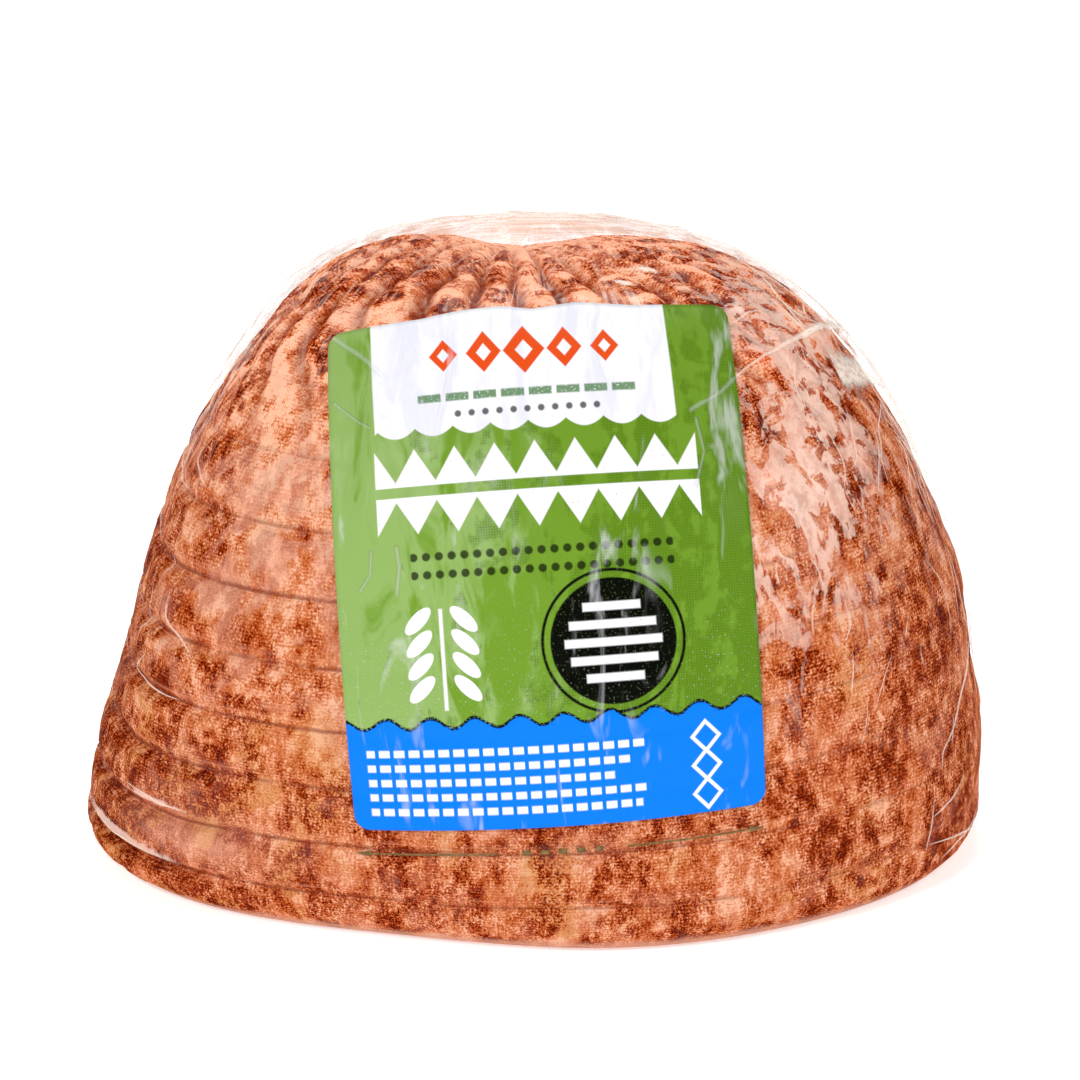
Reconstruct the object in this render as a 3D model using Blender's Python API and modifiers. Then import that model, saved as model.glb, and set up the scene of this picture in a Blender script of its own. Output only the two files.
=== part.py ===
"""Half of a boneless smoked ham in its netting marks, cut flat and sealed in clear film.

The ham stands on its cut face, the label faces -Y and +Z is up. The film fits the meat so closely
that ham and film are one solid, and the label is a thin skin on its front. Sizes are in metres.
"""

import math

import bmesh
import bpy
import numpy as np
from mathutils import Matrix, Vector

# The dome, measured to the outside of the film
HALF_WIDTH = 0.10594
HALF_DEPTH = 0.0810
HEIGHT = 0.1402
OVAL_POWER = 2.35  # 2 is an ellipse, more is squarer
FOOT_WAVES = ((3, -0.0235, -0.0016), (4, 0.0073, -0.0027), (5, 0.0104, -0.0116))  # waves, cosine, sine
# How the wall curves on each side: (rise power, reach power) of a superellipse
PROFILE_RIGHT = (2.21, 2.86)
PROFILE_LEFT = (1.24, 3.77)
PROFILE_FRONT = (2.7, 2.3)
PROFILE_BACK = (4.24, 3.71)
LEFT_FLARE = 0.026  # share that the left foot spreads
FLARE_HEIGHT = 0.18  # share of the height over which it fades
EDGE_HEIGHT = 0.0079  # rounding between the wall and the cut face
EDGE_TUCK = 0.054  # share that the rounding pulls in
POLE_SHIFT = (-0.020, 0.075)  # where the net was gathered, in shares of the wall's length

# The net: rings around the ham, and pleats that run to the gathered end
RINGS = 13
ROWS_PER_RING = 4
RING_SAG = (0.19, 0.10, 0.55)  # share by which the rings lie lower, plus this much more at this turn
RING_DEPTH = 0.0014
RING_HALF = 0.16  # half width of a groove, in ring spacings
RIB_SWELL = 0.0007
PLEATS = 32
COLUMNS_PER_PLEAT = 3
PLEAT_DEPTH = 0.0019
PLEAT_HALF = 0.22
PLEAT_WANDER = 0.035
PLEAT_FROM = 5.6  # ring at which the pleats start, and the one at which they are full
PLEAT_FULL = 9.6
POLE_DIMPLE = 0.0016
DIMPLE_RINGS = 0.9

# Slow unevenness of the meat
LUMP_HEIGHT = 0.0006
LUMP_WAVES = 9
LUMP_LENGTH = 0.052
LUMP_SEED = 18

# Folds of spare film over the right shoulder: (turns, rings) at both ends, height, half width
FILM_FOLDS = (
    ((0.885, 8.70), (0.932, 8.77), 0.0018, 0.0038),
    ((0.932, 8.77), (0.985, 8.42), 0.0022, 0.0040),
    ((0.985, 8.42), (0.958, 7.60), 0.0016, 0.0046),
    ((0.931, 6.35), (0.928, 2.70), 0.0009, 0.0040),
    ((0.902, 9.40), (0.930, 9.38), 0.0010, 0.0036),
)

# The label, as seen square on
LABEL_WIDTH = 0.0946
LABEL_HEIGHT = 0.1172
LABEL_CORNER = 0.0034
LABEL_TOP_SHARE = 0.98  # width of its top edge against its bottom edge
LABEL_BARREL = (0.018, 0.034)  # how far its sides and its ends bow out
LABEL_LEAN = math.radians(21.7)
LABEL_ROLL = math.radians(3.8)
LABEL_CENTRE = (0.0002, -0.0020, 0.0637)
LABEL_GRID = 0.0062
LABEL_THICKNESS = 0.0004
LABEL_GAP = 0.00055  # from the film's smooth skin to the label's back
STAND_OFF = 0.16  # where the flat label waits before it is laid on

TABLE_ANGLES = 145
TABLE_STEPS = 121


def smooth_step(value, low, high):
    share = np.clip((value - low) / (high - low), 0, 1)
    return share * share * (3 - 2 * share)


def side_profile(angle, tilt):
    """Reach (a share of the oval) and height of the wall, at an angle around and a tilt from the top."""
    right = np.clip(np.cos(angle), 0, 1) ** 2
    left = np.clip(-np.cos(angle), 0, 1) ** 2
    front = np.clip(-np.sin(angle), 0, 1) ** 2
    back = np.clip(np.sin(angle), 0, 1) ** 2
    rise, reach = (
        right * PROFILE_RIGHT[i] + left * PROFILE_LEFT[i] + front * PROFILE_FRONT[i] + back * PROFILE_BACK[i]
        for i in (0, 1)
    )
    height = HEIGHT * np.clip(np.cos(tilt), 0, 1) ** (2 / rise)
    share = height / HEIGHT
    out = np.clip(np.sin(tilt), 0, 1) ** (2 / reach)
    out = out * (1 + LEFT_FLARE * left * np.exp(-((share / FLARE_HEIGHT) ** 2)))
    edge = np.clip(1 - height / EDGE_HEIGHT, 0, 1)
    return out * (1 - EDGE_TUCK * edge**2), height


def oval(angle, share):
    """Radius of the dome's outline seen from above, at an angle around and a share of the height."""
    across = np.abs(np.cos(angle) / HALF_WIDTH) ** OVAL_POWER
    along = np.abs(np.sin(angle) / HALF_DEPTH) ** OVAL_POWER
    waves = sum(c * np.cos(n * angle) + s * np.sin(n * angle) for n, c, s in FOOT_WAVES)
    return (across + along) ** (-1 / OVAL_POWER) * (1 + waves * (1 - share))


def wall_table():
    """Radius and height at even steps along the wall, from the top to the base, for angles all around."""
    angles = np.linspace(-math.pi, math.pi, TABLE_ANGLES)
    fine = np.linspace(0, 1, 1200)
    tilts = (math.pi / 2) * (1 - (1 - fine**2) ** 2) ** 0.5  # crowded at both ends, where the wall turns
    table = np.zeros((TABLE_ANGLES, TABLE_STEPS, 2))
    for i, angle in enumerate(angles):
        out, height = side_profile(angle, tilts)
        radius = out * oval(angle, height / HEIGHT)
        length = np.concatenate([[0], np.cumsum(np.hypot(np.diff(radius), np.diff(height)))])
        even = np.linspace(0, length[-1], TABLE_STEPS)
        table[i, :, 0] = np.interp(even, length, radius)
        table[i, :, 1] = np.interp(even, length, height)
    return table


WALL = wall_table()


def on_wall(angle, share):
    """Points on the smooth dome: share is 0 at the top and 1 at the edge of the cut face."""
    across = (angle + math.pi) % (2 * math.pi) / (2 * math.pi) * (TABLE_ANGLES - 1)
    down = np.clip(share, 0, 1) * (TABLE_STEPS - 1)
    a0 = np.minimum(across.astype(int), TABLE_ANGLES - 2)
    d0 = np.minimum(down.astype(int), TABLE_STEPS - 2)
    fa, fd = (across - a0)[:, None], (down - d0)[:, None]
    upper = WALL[a0, d0] * (1 - fa) + WALL[a0 + 1, d0] * fa
    lower = WALL[a0, d0 + 1] * (1 - fa) + WALL[a0 + 1, d0 + 1] * fa
    radius, height = (upper * (1 - fd) + lower * fd).T
    return np.stack([radius * np.cos(angle), radius * np.sin(angle), height], axis=1)


def lumps(points):
    """Slow swells of the meat, as a sum of waves in fixed random directions."""
    draw = np.random.default_rng(LUMP_SEED)
    total = np.zeros(len(points))
    for _ in range(LUMP_WAVES):
        direction = draw.normal(size=3)
        direction *= 2 * math.pi / (LUMP_LENGTH * draw.uniform(0.7, 1.6) * np.linalg.norm(direction))
        total += np.sin(points @ direction + draw.uniform(0, 2 * math.pi))
    return total * LUMP_HEIGHT / math.sqrt(LUMP_WAVES / 2)


def turns_apart(turn, other):
    return (turn - other + 0.5) % 1 - 0.5


def ring_place(turn, ring):
    """Where a ring of the net really lies, in even ring spacings up from the base."""
    sag = RING_SAG[0] + RING_SAG[1] * np.cos(2 * math.pi * (turn - RING_SAG[2]))
    return ring - sag * ring * (1 - ring / RINGS)


def net_point(turn, ring):
    """Point of the film's smooth skin at net coordinates: turns around from +X, and rings up."""
    up = ring / RINGS
    free = np.clip(up * 4, 0, 1) * np.clip((1 - up) * 4, 0, 1)  # the net doesn't wander at its ends
    share = 1 - ring_place(turn, ring) / RINGS
    around = 2 * math.pi * turn + PLEAT_WANDER * free * np.sin(8 * math.pi * turn + 0.7 * ring)
    across = share * np.cos(around) + (1 - share**2) * POLE_SHIFT[0]
    along = share * np.sin(around) + (1 - share**2) * POLE_SHIFT[1]
    points = on_wall(np.arctan2(along, across), np.hypot(across, along))
    flat = points * (1, 1, 0)
    outward = flat / np.maximum(np.linalg.norm(flat, axis=1), 1e-6)[:, None]
    top = smooth_step(share, 0.0, 0.35)[:, None]
    swell = (lumps(points) * smooth_step(points[:, 2], 0, 0.012))[:, None]
    return points + outward * top * swell + (1 - top) * swell * (0, 0, 1)


def skin_normal(turn, ring, step=0.004):
    """Outward normal of the smooth skin."""
    side = net_point(turn + step, ring) - net_point(turn - step, ring)
    top = RINGS - 0.35
    upper, lower = np.minimum(ring + step * RINGS, top), np.minimum(ring, top) - step * RINGS
    rise = net_point(turn, upper) - net_point(turn, np.maximum(lower, 0))
    normal = np.cross(side, rise)
    return normal / np.maximum(np.linalg.norm(normal, axis=1), 1e-12)[:, None]


def net_relief(turn, ring):
    """Height of the rolls between the net's rings, less the depth of its grooves and pleats."""
    left = 0.5 - 0.5 * np.cos(2 * math.pi * turn)
    far_left = smooth_step(np.cos(2 * math.pi * (turn - 0.52)), 0.72, 0.98)
    lower = 1 - 0.75 * smooth_step(ring, 4.5, 8.0)
    from_groove = np.abs((ring + 0.5) % 1 - 0.5)
    lowest = 1 + far_left * np.exp(-((ring - 1) ** 2))
    groove = RING_DEPTH * (0.2 + 0.8 * left) * lower * lowest * np.exp(-((from_groove / RING_HALF) ** 2))
    swell = RIB_SWELL * far_left * lower * np.sin(math.pi * from_groove) ** 2
    from_pleat = np.abs((turn * PLEATS + 0.5) % 1 - 0.5)
    uneven = 0.75 + 0.25 * np.sin(turn * PLEATS * 2.4 + 1.3)
    room = np.clip((RINGS - ring) / 2.2, 0, 1)
    gather = smooth_step(ring, PLEAT_FROM, PLEAT_FULL) * room * uneven
    pleat = PLEAT_DEPTH * gather * np.exp(-((from_pleat / PLEAT_HALF) ** 2))
    dimple = POLE_DIMPLE * np.exp(-(((RINGS - ring) / DIMPLE_RINGS) ** 2))
    return (swell - groove - pleat - dimple) * smooth_step(ring, 0, 0.5)


def fold_relief(turn, ring):
    """Height of the folds of spare film, as rounded ridges along straight runs of the net."""
    spacing = (2 * math.pi * HALF_DEPTH, 0.0145)  # metres in a turn, and between two rings
    total = np.zeros(len(turn))
    for start, end, height, half in FILM_FOLDS:
        along = np.array([turns_apart(end[0], start[0]) * spacing[0], (end[1] - start[1]) * spacing[1]])
        here = np.stack([turns_apart(turn, start[0]) * spacing[0], (ring - start[1]) * spacing[1]], axis=1)
        share = np.clip(here @ along / (along @ along), 0, 1)
        away = np.linalg.norm(here - share[:, None] * along, axis=1)
        taper = 0.35 + 0.65 * np.sin(math.pi * np.clip(share, 0.08, 0.92))
        total = np.maximum(total, height * taper * np.exp(-((away / half) ** 2)))
    return total


def make_dome(name, relief, grow=0.0):
    """A sphere's upper half drawn out to the dome's shape, closed by one flat face."""
    rows = RINGS * ROWS_PER_RING
    shape = bmesh.new()
    bmesh.ops.create_uvsphere(shape, u_segments=PLEATS * COLUMNS_PER_PLEAT, v_segments=2 * rows, radius=1)
    bmesh.ops.delete(shape, geom=[v for v in shape.verts if v.co.z < -1e-4], context="VERTS")
    unit = np.array([v.co for v in shape.verts])
    turn = np.arctan2(unit[:, 1], unit[:, 0]) / (2 * math.pi) % 1
    ring = np.arcsin(np.clip(unit[:, 2], 0, 1)) / (math.pi / 2) * RINGS
    lift = np.full(len(unit), grow)
    if relief:
        lift += net_relief(turn, ring) + fold_relief(turn, ring)
    points = net_point(turn, ring) + skin_normal(turn, ring) * lift[:, None]
    on_base = ring < 0.5 / ROWS_PER_RING
    points[on_base, 2] = 0
    for vertex, point in zip(shape.verts, points):
        vertex.co = point
    bmesh.ops.edgeloop_fill(shape, edges=[e for e in shape.edges if e.is_boundary])
    bmesh.ops.recalc_face_normals(shape, faces=shape.faces)
    mesh = bpy.data.meshes.new(name)
    shape.to_mesh(mesh)
    shape.free()
    return bpy.data.objects.new(name, mesh)


def make_label(guide):
    """A flat sheet with rounded corners and bowed edges, laid on the guide and given its thickness."""
    shape = bmesh.new()
    bmesh.ops.create_grid(shape, x_segments=1, y_segments=1, size=0.5)
    bmesh.ops.scale(shape, vec=(LABEL_WIDTH, LABEL_HEIGHT, 1), verts=shape.verts)
    corners = shape.verts[:]
    bmesh.ops.bevel(shape, geom=corners, offset=LABEL_CORNER, segments=4, profile=0.5, affect="VERTICES")
    for axis, size in ((0, LABEL_WIDTH), (1, LABEL_HEIGHT)):
        count = round(size / LABEL_GRID)
        for i in range(1, count):
            cut = Vector((0, 0, 0))
            cut[axis] = size * (i / count - 0.5)
            everything = shape.verts[:] + shape.edges[:] + shape.faces[:]
            normal = Vector((float(axis == 0), float(axis == 1), 0))
            bmesh.ops.bisect_plane(shape, geom=everything, plane_co=cut, plane_no=normal)
    for vertex in shape.verts:
        across, along = 2 * vertex.co.x / LABEL_WIDTH, 2 * vertex.co.y / LABEL_HEIGHT
        taper = 1 - (1 - LABEL_TOP_SHARE) * (along + 1) / 2
        vertex.co.x *= taper * (1 - LABEL_BARREL[0] * along**2)
        vertex.co.y *= 1 - LABEL_BARREL[1] * across**2
    mesh = bpy.data.meshes.new("label")
    shape.to_mesh(mesh)
    shape.free()
    label = bpy.data.objects.new("label", mesh)
    turned = Matrix.Rotation(math.pi / 2 - LABEL_LEAN, 4, "X") @ Matrix.Rotation(LABEL_ROLL, 4, "Z")
    outward = turned @ Vector((0, 0, 1))
    label.matrix_world = Matrix.Translation(Vector(LABEL_CENTRE) + outward * STAND_OFF) @ turned
    lay = label.modifiers.new("lay on film", "SHRINKWRAP")
    lay.target = guide
    lay.wrap_method = "PROJECT"
    lay.use_project_z = True
    lay.use_negative_direction = True
    lay.use_positive_direction = False
    split = label.modifiers.new("split alike", "TRIANGULATE")
    split.quad_method = "FIXED"
    wall = label.modifiers.new("thickness", "SOLIDIFY")
    wall.thickness = LABEL_THICKNESS
    wall.offset = 1
    return label


def make_material(name, colour, roughness):
    material = bpy.data.materials.new(name)
    material.use_nodes = True
    shader = material.node_tree.nodes["Principled BSDF"]
    shader.inputs["Base Color"].default_value = (*colour, 1)
    shader.inputs["Roughness"].default_value = roughness
    shader.inputs["Metallic"].default_value = 0
    material.diffuse_color = (*colour, 1)
    return material


def stand_at_origin(objects, root):
    """Moves the root so that the middle of the bounding box's base is the origin."""
    bpy.context.view_layer.update()
    graph = bpy.context.evaluated_depsgraph_get()
    points = []
    for piece in objects:
        shown = piece.evaluated_get(graph)
        mesh = shown.to_mesh()
        points += [shown.matrix_world @ vertex.co for vertex in mesh.vertices]
        shown.to_mesh_clear()
    low = [min(point[i] for point in points) for i in range(3)]
    high = [max(point[i] for point in points) for i in range(3)]
    root.location = (-(low[0] + high[0]) / 2, -(low[1] + high[1]) / 2, -low[2])


def main():
    for old in list(bpy.data.objects):
        bpy.data.objects.remove(old, do_unlink=True)
    kept = bpy.data.collections.new("sealed half ham")
    helpers = bpy.data.collections.new("guides")
    for collection in (kept, helpers):
        bpy.context.scene.collection.children.link(collection)

    root = bpy.data.objects.new("ham origin", None)
    kept.objects.link(root)

    ham = make_dome("sealed_ham", relief=True)
    ham.data.materials.append(make_material("smoked ham under film", (0.60, 0.19, 0.09), 0.3))
    ham.data.shade_smooth()
    ham.data.set_sharp_from_angle(angle=math.radians(50))
    kept.objects.link(ham)

    guide = make_dome("film guide", relief=False, grow=LABEL_GAP)
    guide.hide_render = True
    guide.display_type = "WIRE"
    helpers.objects.link(guide)

    label = make_label(guide)
    label.data.materials.append(make_material("printed label", (0.20, 0.38, 0.05), 0.4))
    label.data.shade_smooth()
    kept.objects.link(label)

    for piece in (ham, guide, label):
        placed = piece.matrix_world.copy()
        piece.parent = root
        piece.matrix_world = placed
    stand_at_origin((ham, label), root)


main()
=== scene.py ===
import functools
import math

import bpy
import bmesh
import numpy as np
from mathutils import Matrix, Vector
from mathutils.bvhtree import BVHTree


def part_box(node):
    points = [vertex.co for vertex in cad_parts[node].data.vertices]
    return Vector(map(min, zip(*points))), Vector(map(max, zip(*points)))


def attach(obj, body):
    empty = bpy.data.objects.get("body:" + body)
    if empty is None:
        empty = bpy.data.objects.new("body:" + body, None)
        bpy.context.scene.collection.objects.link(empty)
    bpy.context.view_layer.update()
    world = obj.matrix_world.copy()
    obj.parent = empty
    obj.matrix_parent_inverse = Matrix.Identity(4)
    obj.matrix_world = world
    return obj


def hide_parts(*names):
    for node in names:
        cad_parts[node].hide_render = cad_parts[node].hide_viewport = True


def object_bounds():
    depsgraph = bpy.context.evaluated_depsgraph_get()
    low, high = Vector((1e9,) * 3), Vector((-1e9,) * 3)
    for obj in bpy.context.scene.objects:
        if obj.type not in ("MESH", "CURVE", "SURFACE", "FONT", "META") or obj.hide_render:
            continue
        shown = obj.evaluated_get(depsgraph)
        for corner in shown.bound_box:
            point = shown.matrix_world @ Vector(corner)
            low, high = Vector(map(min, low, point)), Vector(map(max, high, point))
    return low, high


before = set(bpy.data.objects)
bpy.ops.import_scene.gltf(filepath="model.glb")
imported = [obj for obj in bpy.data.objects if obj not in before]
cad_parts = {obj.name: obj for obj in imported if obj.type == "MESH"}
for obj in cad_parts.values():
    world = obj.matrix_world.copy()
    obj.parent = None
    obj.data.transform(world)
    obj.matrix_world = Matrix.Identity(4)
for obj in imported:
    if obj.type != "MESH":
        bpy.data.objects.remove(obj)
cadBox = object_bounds()
tau = 2 * math.pi
print("frame loaded")


def mathsNode(operation, reflected=False):  # a method that adds one Math node
    def method(self, *others):
        values = (*others, self) if reflected else (self, *others)
        return self.graph.maths(operation, *values)
    return method


# A node's output. Sums written on it add Math nodes.
class Value:
    def __init__(self, graph, socket):
        self.graph = graph
        self.socket = socket

    __add__ = mathsNode("ADD")
    __radd__ = mathsNode("ADD", reflected=True)
    __sub__ = mathsNode("SUBTRACT")
    __rsub__ = mathsNode("SUBTRACT", reflected=True)
    __mul__ = mathsNode("MULTIPLY")
    __rmul__ = mathsNode("MULTIPLY", reflected=True)
    __truediv__ = mathsNode("DIVIDE")
    __pow__ = mathsNode("POWER")
    __abs__ = mathsNode("ABSOLUTE")
    floor = mathsNode("FLOOR")
    fraction = mathsNode("FRACT")
    sine = mathsNode("SINE")
    cosine = mathsNode("COSINE")
    least = mathsNode("MINIMUM")
    most = mathsNode("MAXIMUM")

    def __neg__(self):
        return self * -1.0

    def bell(self, half):  # 1 at 0, falling off over half
        return self.graph.maths("EXPONENT", -((self / half) ** 2.0))

    def smooth(self, low, high):  # 0 below low and 1 above high, or the other way round
        sockets = {"Value": self, 1: low, 2: high}
        return self.graph.add("ShaderNodeMapRange", {"interpolation_type": "SMOOTHSTEP"}, sockets)

    def clamped(self):
        return self.graph.add("ShaderNodeClamp", {}, {"Value": self})


def union(*masks):
    return functools.reduce(Value.most, masks)


class Graph:
    def __init__(self, tree):
        self.tree = tree

    def add(self, kind, settings=None, sockets=None, out=0):
        node = self.tree.nodes.new(kind)
        for name, value in (settings or {}).items():
            if name == "stops":
                self.setRamp(node.color_ramp, value)
            else:
                setattr(node, name, value)
        for name, value in (sockets or {}).items():
            if isinstance(value, Value):
                self.tree.links.new(value.socket, node.inputs[name])
            else:
                node.inputs[name].default_value = value
        return Value(self, node.outputs[out]) if node.outputs else None

    def setRamp(self, ramp, stops):
        while len(ramp.elements) < len(stops):
            ramp.elements.new(1.0)
        for element, (place, colour) in zip(ramp.elements, stops):
            element.position = place
            element.color = colour

    def maths(self, operation, *values):
        return self.add("ShaderNodeMath", {"operation": operation}, dict(enumerate(values)))

    def vector(self, operation, *values, scale=None):
        sockets = dict(enumerate(values))
        if scale is not None:
            sockets["Scale"] = scale
        return self.add("ShaderNodeVectorMath", {"operation": operation}, sockets)

    def split(self, vector):
        node = self.tree.nodes.new("ShaderNodeSeparateXYZ")
        self.tree.links.new(vector.socket, node.inputs[0])
        return [Value(self, socket) for socket in node.outputs]

    def join(self, x, y, z):
        return self.add("ShaderNodeCombineXYZ", {}, {0: x, 1: y, 2: z})

    def blend(self, factor, low, high):  # of two colours
        return self.add("ShaderNodeMix", {"data_type": "RGBA"}, {0: factor, 6: low, 7: high}, 2)

    def coats(self, colour, *over):  # (share, colour) pairs laid over a colour in turn
        for share, coat in over:
            colour = self.blend(share, colour, coat)
        return colour

    def noise(self, vector, scale, detail=2.0, roughness=0.5, distortion=0.0):
        names = ("Vector", "Scale", "Detail", "Roughness", "Distortion")
        sockets = dict(zip(names, (vector, scale, detail, roughness, distortion)))
        return self.add("ShaderNodeTexNoise", {}, sockets)

    def chance(self, x, y):  # a fixed random number for each pair of whole numbers
        sockets = {"Vector": self.join(x, y, 0.0)}
        return self.add("ShaderNodeTexWhiteNoise", {"noise_dimensions": "2D"}, sockets)

    def attribute(self, name, kind="FLOAT"):
        if self.tree.type == "GEOMETRY":
            return self.add("GeometryNodeInputNamedAttribute", {"data_type": kind}, {"Name": name})
        out = "Vector" if kind == "FLOAT_VECTOR" else "Fac"
        return self.add("ShaderNodeAttribute", {"attribute_name": name}, {}, out)

    def net(self):  # turn, from -0.5 to 0.5 around from +X, and ring, from 0 at the foot up
        across, along, ring = self.split(self.attribute("net", "FLOAT_VECTOR"))
        return self.maths("ARCTAN2", along, across) / tau, ring

    def fan(self, across, along):  # a place for textures that fan out from the gathered end
        x, y, ring = self.split(self.attribute("fan", "FLOAT_VECTOR"))
        return self.join(across * x, across * y, along * ring)

    def lobes(self):  # turn and ring about the meat's own gathered end
        x, y, ring = self.split(self.attribute("fan", "FLOAT_VECTOR"))
        return self.maths("ARCTAN2", y, x) / tau, ring


def paint(red, green, blue):  # a colour as a screen shows it, 0 to 255
    shares = [value / 255 for value in (red, green, blue)]
    return (*[s / 12.92 if s <= 0.04045 else ((s + 0.055) / 1.055) ** 2.4 for s in shares], 1.0)


# The ham's form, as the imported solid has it, in metres
form = {
    "halfWidth": 0.10594,
    "halfDepth": 0.0810,
    "height": 0.1402,
    "ovalPower": 2.35,
    "footWaves": ((3, -0.0235, -0.0016), (4, 0.0073, -0.0027), (5, 0.0104, -0.0116)),
    "right": (2.21, 2.86),  # rise and reach of each side's curve
    "left": (1.24, 3.77),
    "front": (2.7, 2.3),
    "back": (4.24, 3.71),
    "leftFlare": 0.026,
    "flareHeight": 0.18,
    "edgeHeight": 0.0079,
    "edgeTuck": 0.054,
    "poleShift": (-0.020, 0.075),
    "rings": 13,
    "ringSag": (0.19, 0.10, 0.55),
    "ringDepth": 0.0014,
    "ringHalf": 0.12,
    "ribSwell": 0.0007,
    "pleats": 32,
    "pleatDepth": 0.0019,
    "pleatHalf": 0.22,
    "pleatWander": 0.035,
    "pleatFrom": 5.6,
    "pleatFull": 9.6,
    "poleDimple": 0.0016,
    "dimpleRings": 0.9,
    "lumpHeight": 0.0006,
    "lumpWaves": 9,
    "lumpLength": 0.052,
    "lumpSeed": 18,
    "ringPitch": 0.0145,
    "folds": (  # (turns, rings) at both ends, height, half width
        ((0.885, 8.70), (0.932, 8.77), 0.0018, 0.0038),
        ((0.932, 8.77), (0.985, 8.42), 0.0022, 0.0040),
        ((0.985, 8.42), (0.958, 7.60), 0.0016, 0.0046),
        ((0.931, 6.35), (0.928, 2.70), 0.0009, 0.0040),
        ((0.902, 9.40), (0.930, 9.38), 0.0010, 0.0036),
    ),
    "tableAngles": 145,
    "tableSteps": 121,
    "fineSteps": 1200,
}
skin = {"columns": 448, "rowsPerRing": 14, "baseRows": 10}
meatGather = (-0.020, 0.255)  # how far the meat's gathered end lies from the film's, in shares of the wall


def smoothStep(value, low, high):
    share = np.clip((value - low) / (high - low), 0, 1)
    return share * share * (3 - 2 * share)


def hill(value, half):  # 1 at 0, falling off over half
    return np.exp(-((value / half) ** 2))


def pastWhole(value):  # how far past the nearest whole number, -0.5 to 0.5
    return (value + 0.5) % 1 - 0.5


def unit(vectors):
    return vectors / np.maximum(np.linalg.norm(vectors, axis=1), 1e-12)[:, None]


def sideProfile(angle, tilt):
    across, along = np.cos(angle), np.sin(angle)
    facing = {"right": across, "left": -across, "front": -along, "back": along}
    weights = {side: np.clip(share, 0, 1) ** 2 for side, share in facing.items()}
    rise, reach = (sum(weights[side] * form[side][i] for side in weights) for i in (0, 1))
    height = form["height"] * np.clip(np.cos(tilt), 0, 1) ** (2 / rise)
    flare = hill(height / form["height"], form["flareHeight"])
    out = np.clip(np.sin(tilt), 0, 1) ** (2 / reach) * (1 + form["leftFlare"] * weights["left"] * flare)
    edge = np.clip(1 - height / form["edgeHeight"], 0, 1)
    return out * (1 - form["edgeTuck"] * edge**2), height


def oval(angle, share):
    power = form["ovalPower"]
    across = np.abs(np.cos(angle) / form["halfWidth"]) ** power
    along = np.abs(np.sin(angle) / form["halfDepth"]) ** power
    waves = sum(c * np.cos(n * angle) + s * np.sin(n * angle) for n, c, s in form["footWaves"])
    return (across + along) ** (-1 / power) * (1 + waves * (1 - share))


def wallTable():  # radius and height at even steps along the wall, for angles all around
    angles = np.linspace(-math.pi, math.pi, form["tableAngles"])
    fine = np.linspace(0, 1, form["fineSteps"])
    tilts = (math.pi / 2) * (1 - (1 - fine**2) ** 2) ** 0.5
    table = np.zeros((len(angles), form["tableSteps"], 2))
    for i, angle in enumerate(angles):
        out, height = sideProfile(angle, tilts)
        radius = out * oval(angle, height / form["height"])
        length = np.concatenate([[0], np.cumsum(np.hypot(np.diff(radius), np.diff(height)))])
        even = np.linspace(0, length[-1], form["tableSteps"])
        table[i, :, 0] = np.interp(even, length, radius)
        table[i, :, 1] = np.interp(even, length, height)
    return table


wall = wallTable()


def onWall(angle, share):
    across = (angle + math.pi) % tau / tau * (form["tableAngles"] - 1)
    down = np.clip(share, 0, 1) * (form["tableSteps"] - 1)
    a = np.minimum(across.astype(int), form["tableAngles"] - 2)
    d = np.minimum(down.astype(int), form["tableSteps"] - 2)
    restAcross, restDown = (across - a)[:, None], (down - d)[:, None]
    upper = wall[a, d] * (1 - restAcross) + wall[a + 1, d] * restAcross
    lower = wall[a, d + 1] * (1 - restAcross) + wall[a + 1, d + 1] * restAcross
    radius, height = (upper * (1 - restDown) + lower * restDown).T
    return np.stack([radius * np.cos(angle), radius * np.sin(angle), height], axis=1)


def lumps(points):
    draw = np.random.default_rng(form["lumpSeed"])
    total = np.zeros(len(points))
    for _ in range(form["lumpWaves"]):
        direction = draw.normal(size=3)
        direction *= tau / (form["lumpLength"] * draw.uniform(0.7, 1.6) * np.linalg.norm(direction))
        total += np.sin(points @ direction + draw.uniform(0, tau))
    return total * form["lumpHeight"] / math.sqrt(form["lumpWaves"] / 2)


def ringShare(turn, ring):  # how far down the wall a ring lies, 0 at the gathered end and 1 at the foot
    up = ring / form["rings"]
    sag = form["ringSag"][0] + form["ringSag"][1] * np.cos(tau * (turn - form["ringSag"][2]))
    return 1 - (ring - sag * ring * (1 - up)) / form["rings"]


def flatPlace(share, angle):  # a share of the wall's length, seen from above, round the moved gathered end
    aside = [(1 - share**2) * shift for shift in form["poleShift"]]
    return share * np.cos(angle) + aside[0], share * np.sin(angle) + aside[1]


def fanPlace(turn, ring):  # the net's place as the meat's own gathered end has it, behind the film's
    place = np.stack(flatPlace(ringShare(turn, ring), tau * turn), axis=1)
    moved = place
    for _ in range(25):  # each round comes nearer to the place that the shift leads here
        room = np.clip(1 - (moved**2).sum(axis=1), 0, 1)[:, None] ** 3
        moved = 0.5 * moved + 0.5 * (place - room * meatGather)
    return np.column_stack([unit(moved), form["rings"] * (1 - np.linalg.norm(moved, axis=1))])


def netPoint(turn, ring):  # the film's smooth skin, without its rings and pleats
    up = ring / form["rings"]
    share = ringShare(turn, ring)
    free = np.clip(up * 4, 0, 1) * np.clip((1 - up) * 4, 0, 1)
    around = tau * turn + form["pleatWander"] * free * np.sin(4 * tau * turn + 0.7 * ring)
    across, along = flatPlace(share, around)
    points = onWall(np.arctan2(along, across), np.hypot(across, along))
    outward = unit(points * (1, 1, 0))
    top = smoothStep(share, 0.0, 0.35)[:, None]
    swell = (lumps(points) * smoothStep(points[:, 2], 0, 0.012))[:, None]
    return points + outward * top * swell + (1 - top) * swell * (0, 0, 1)


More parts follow.
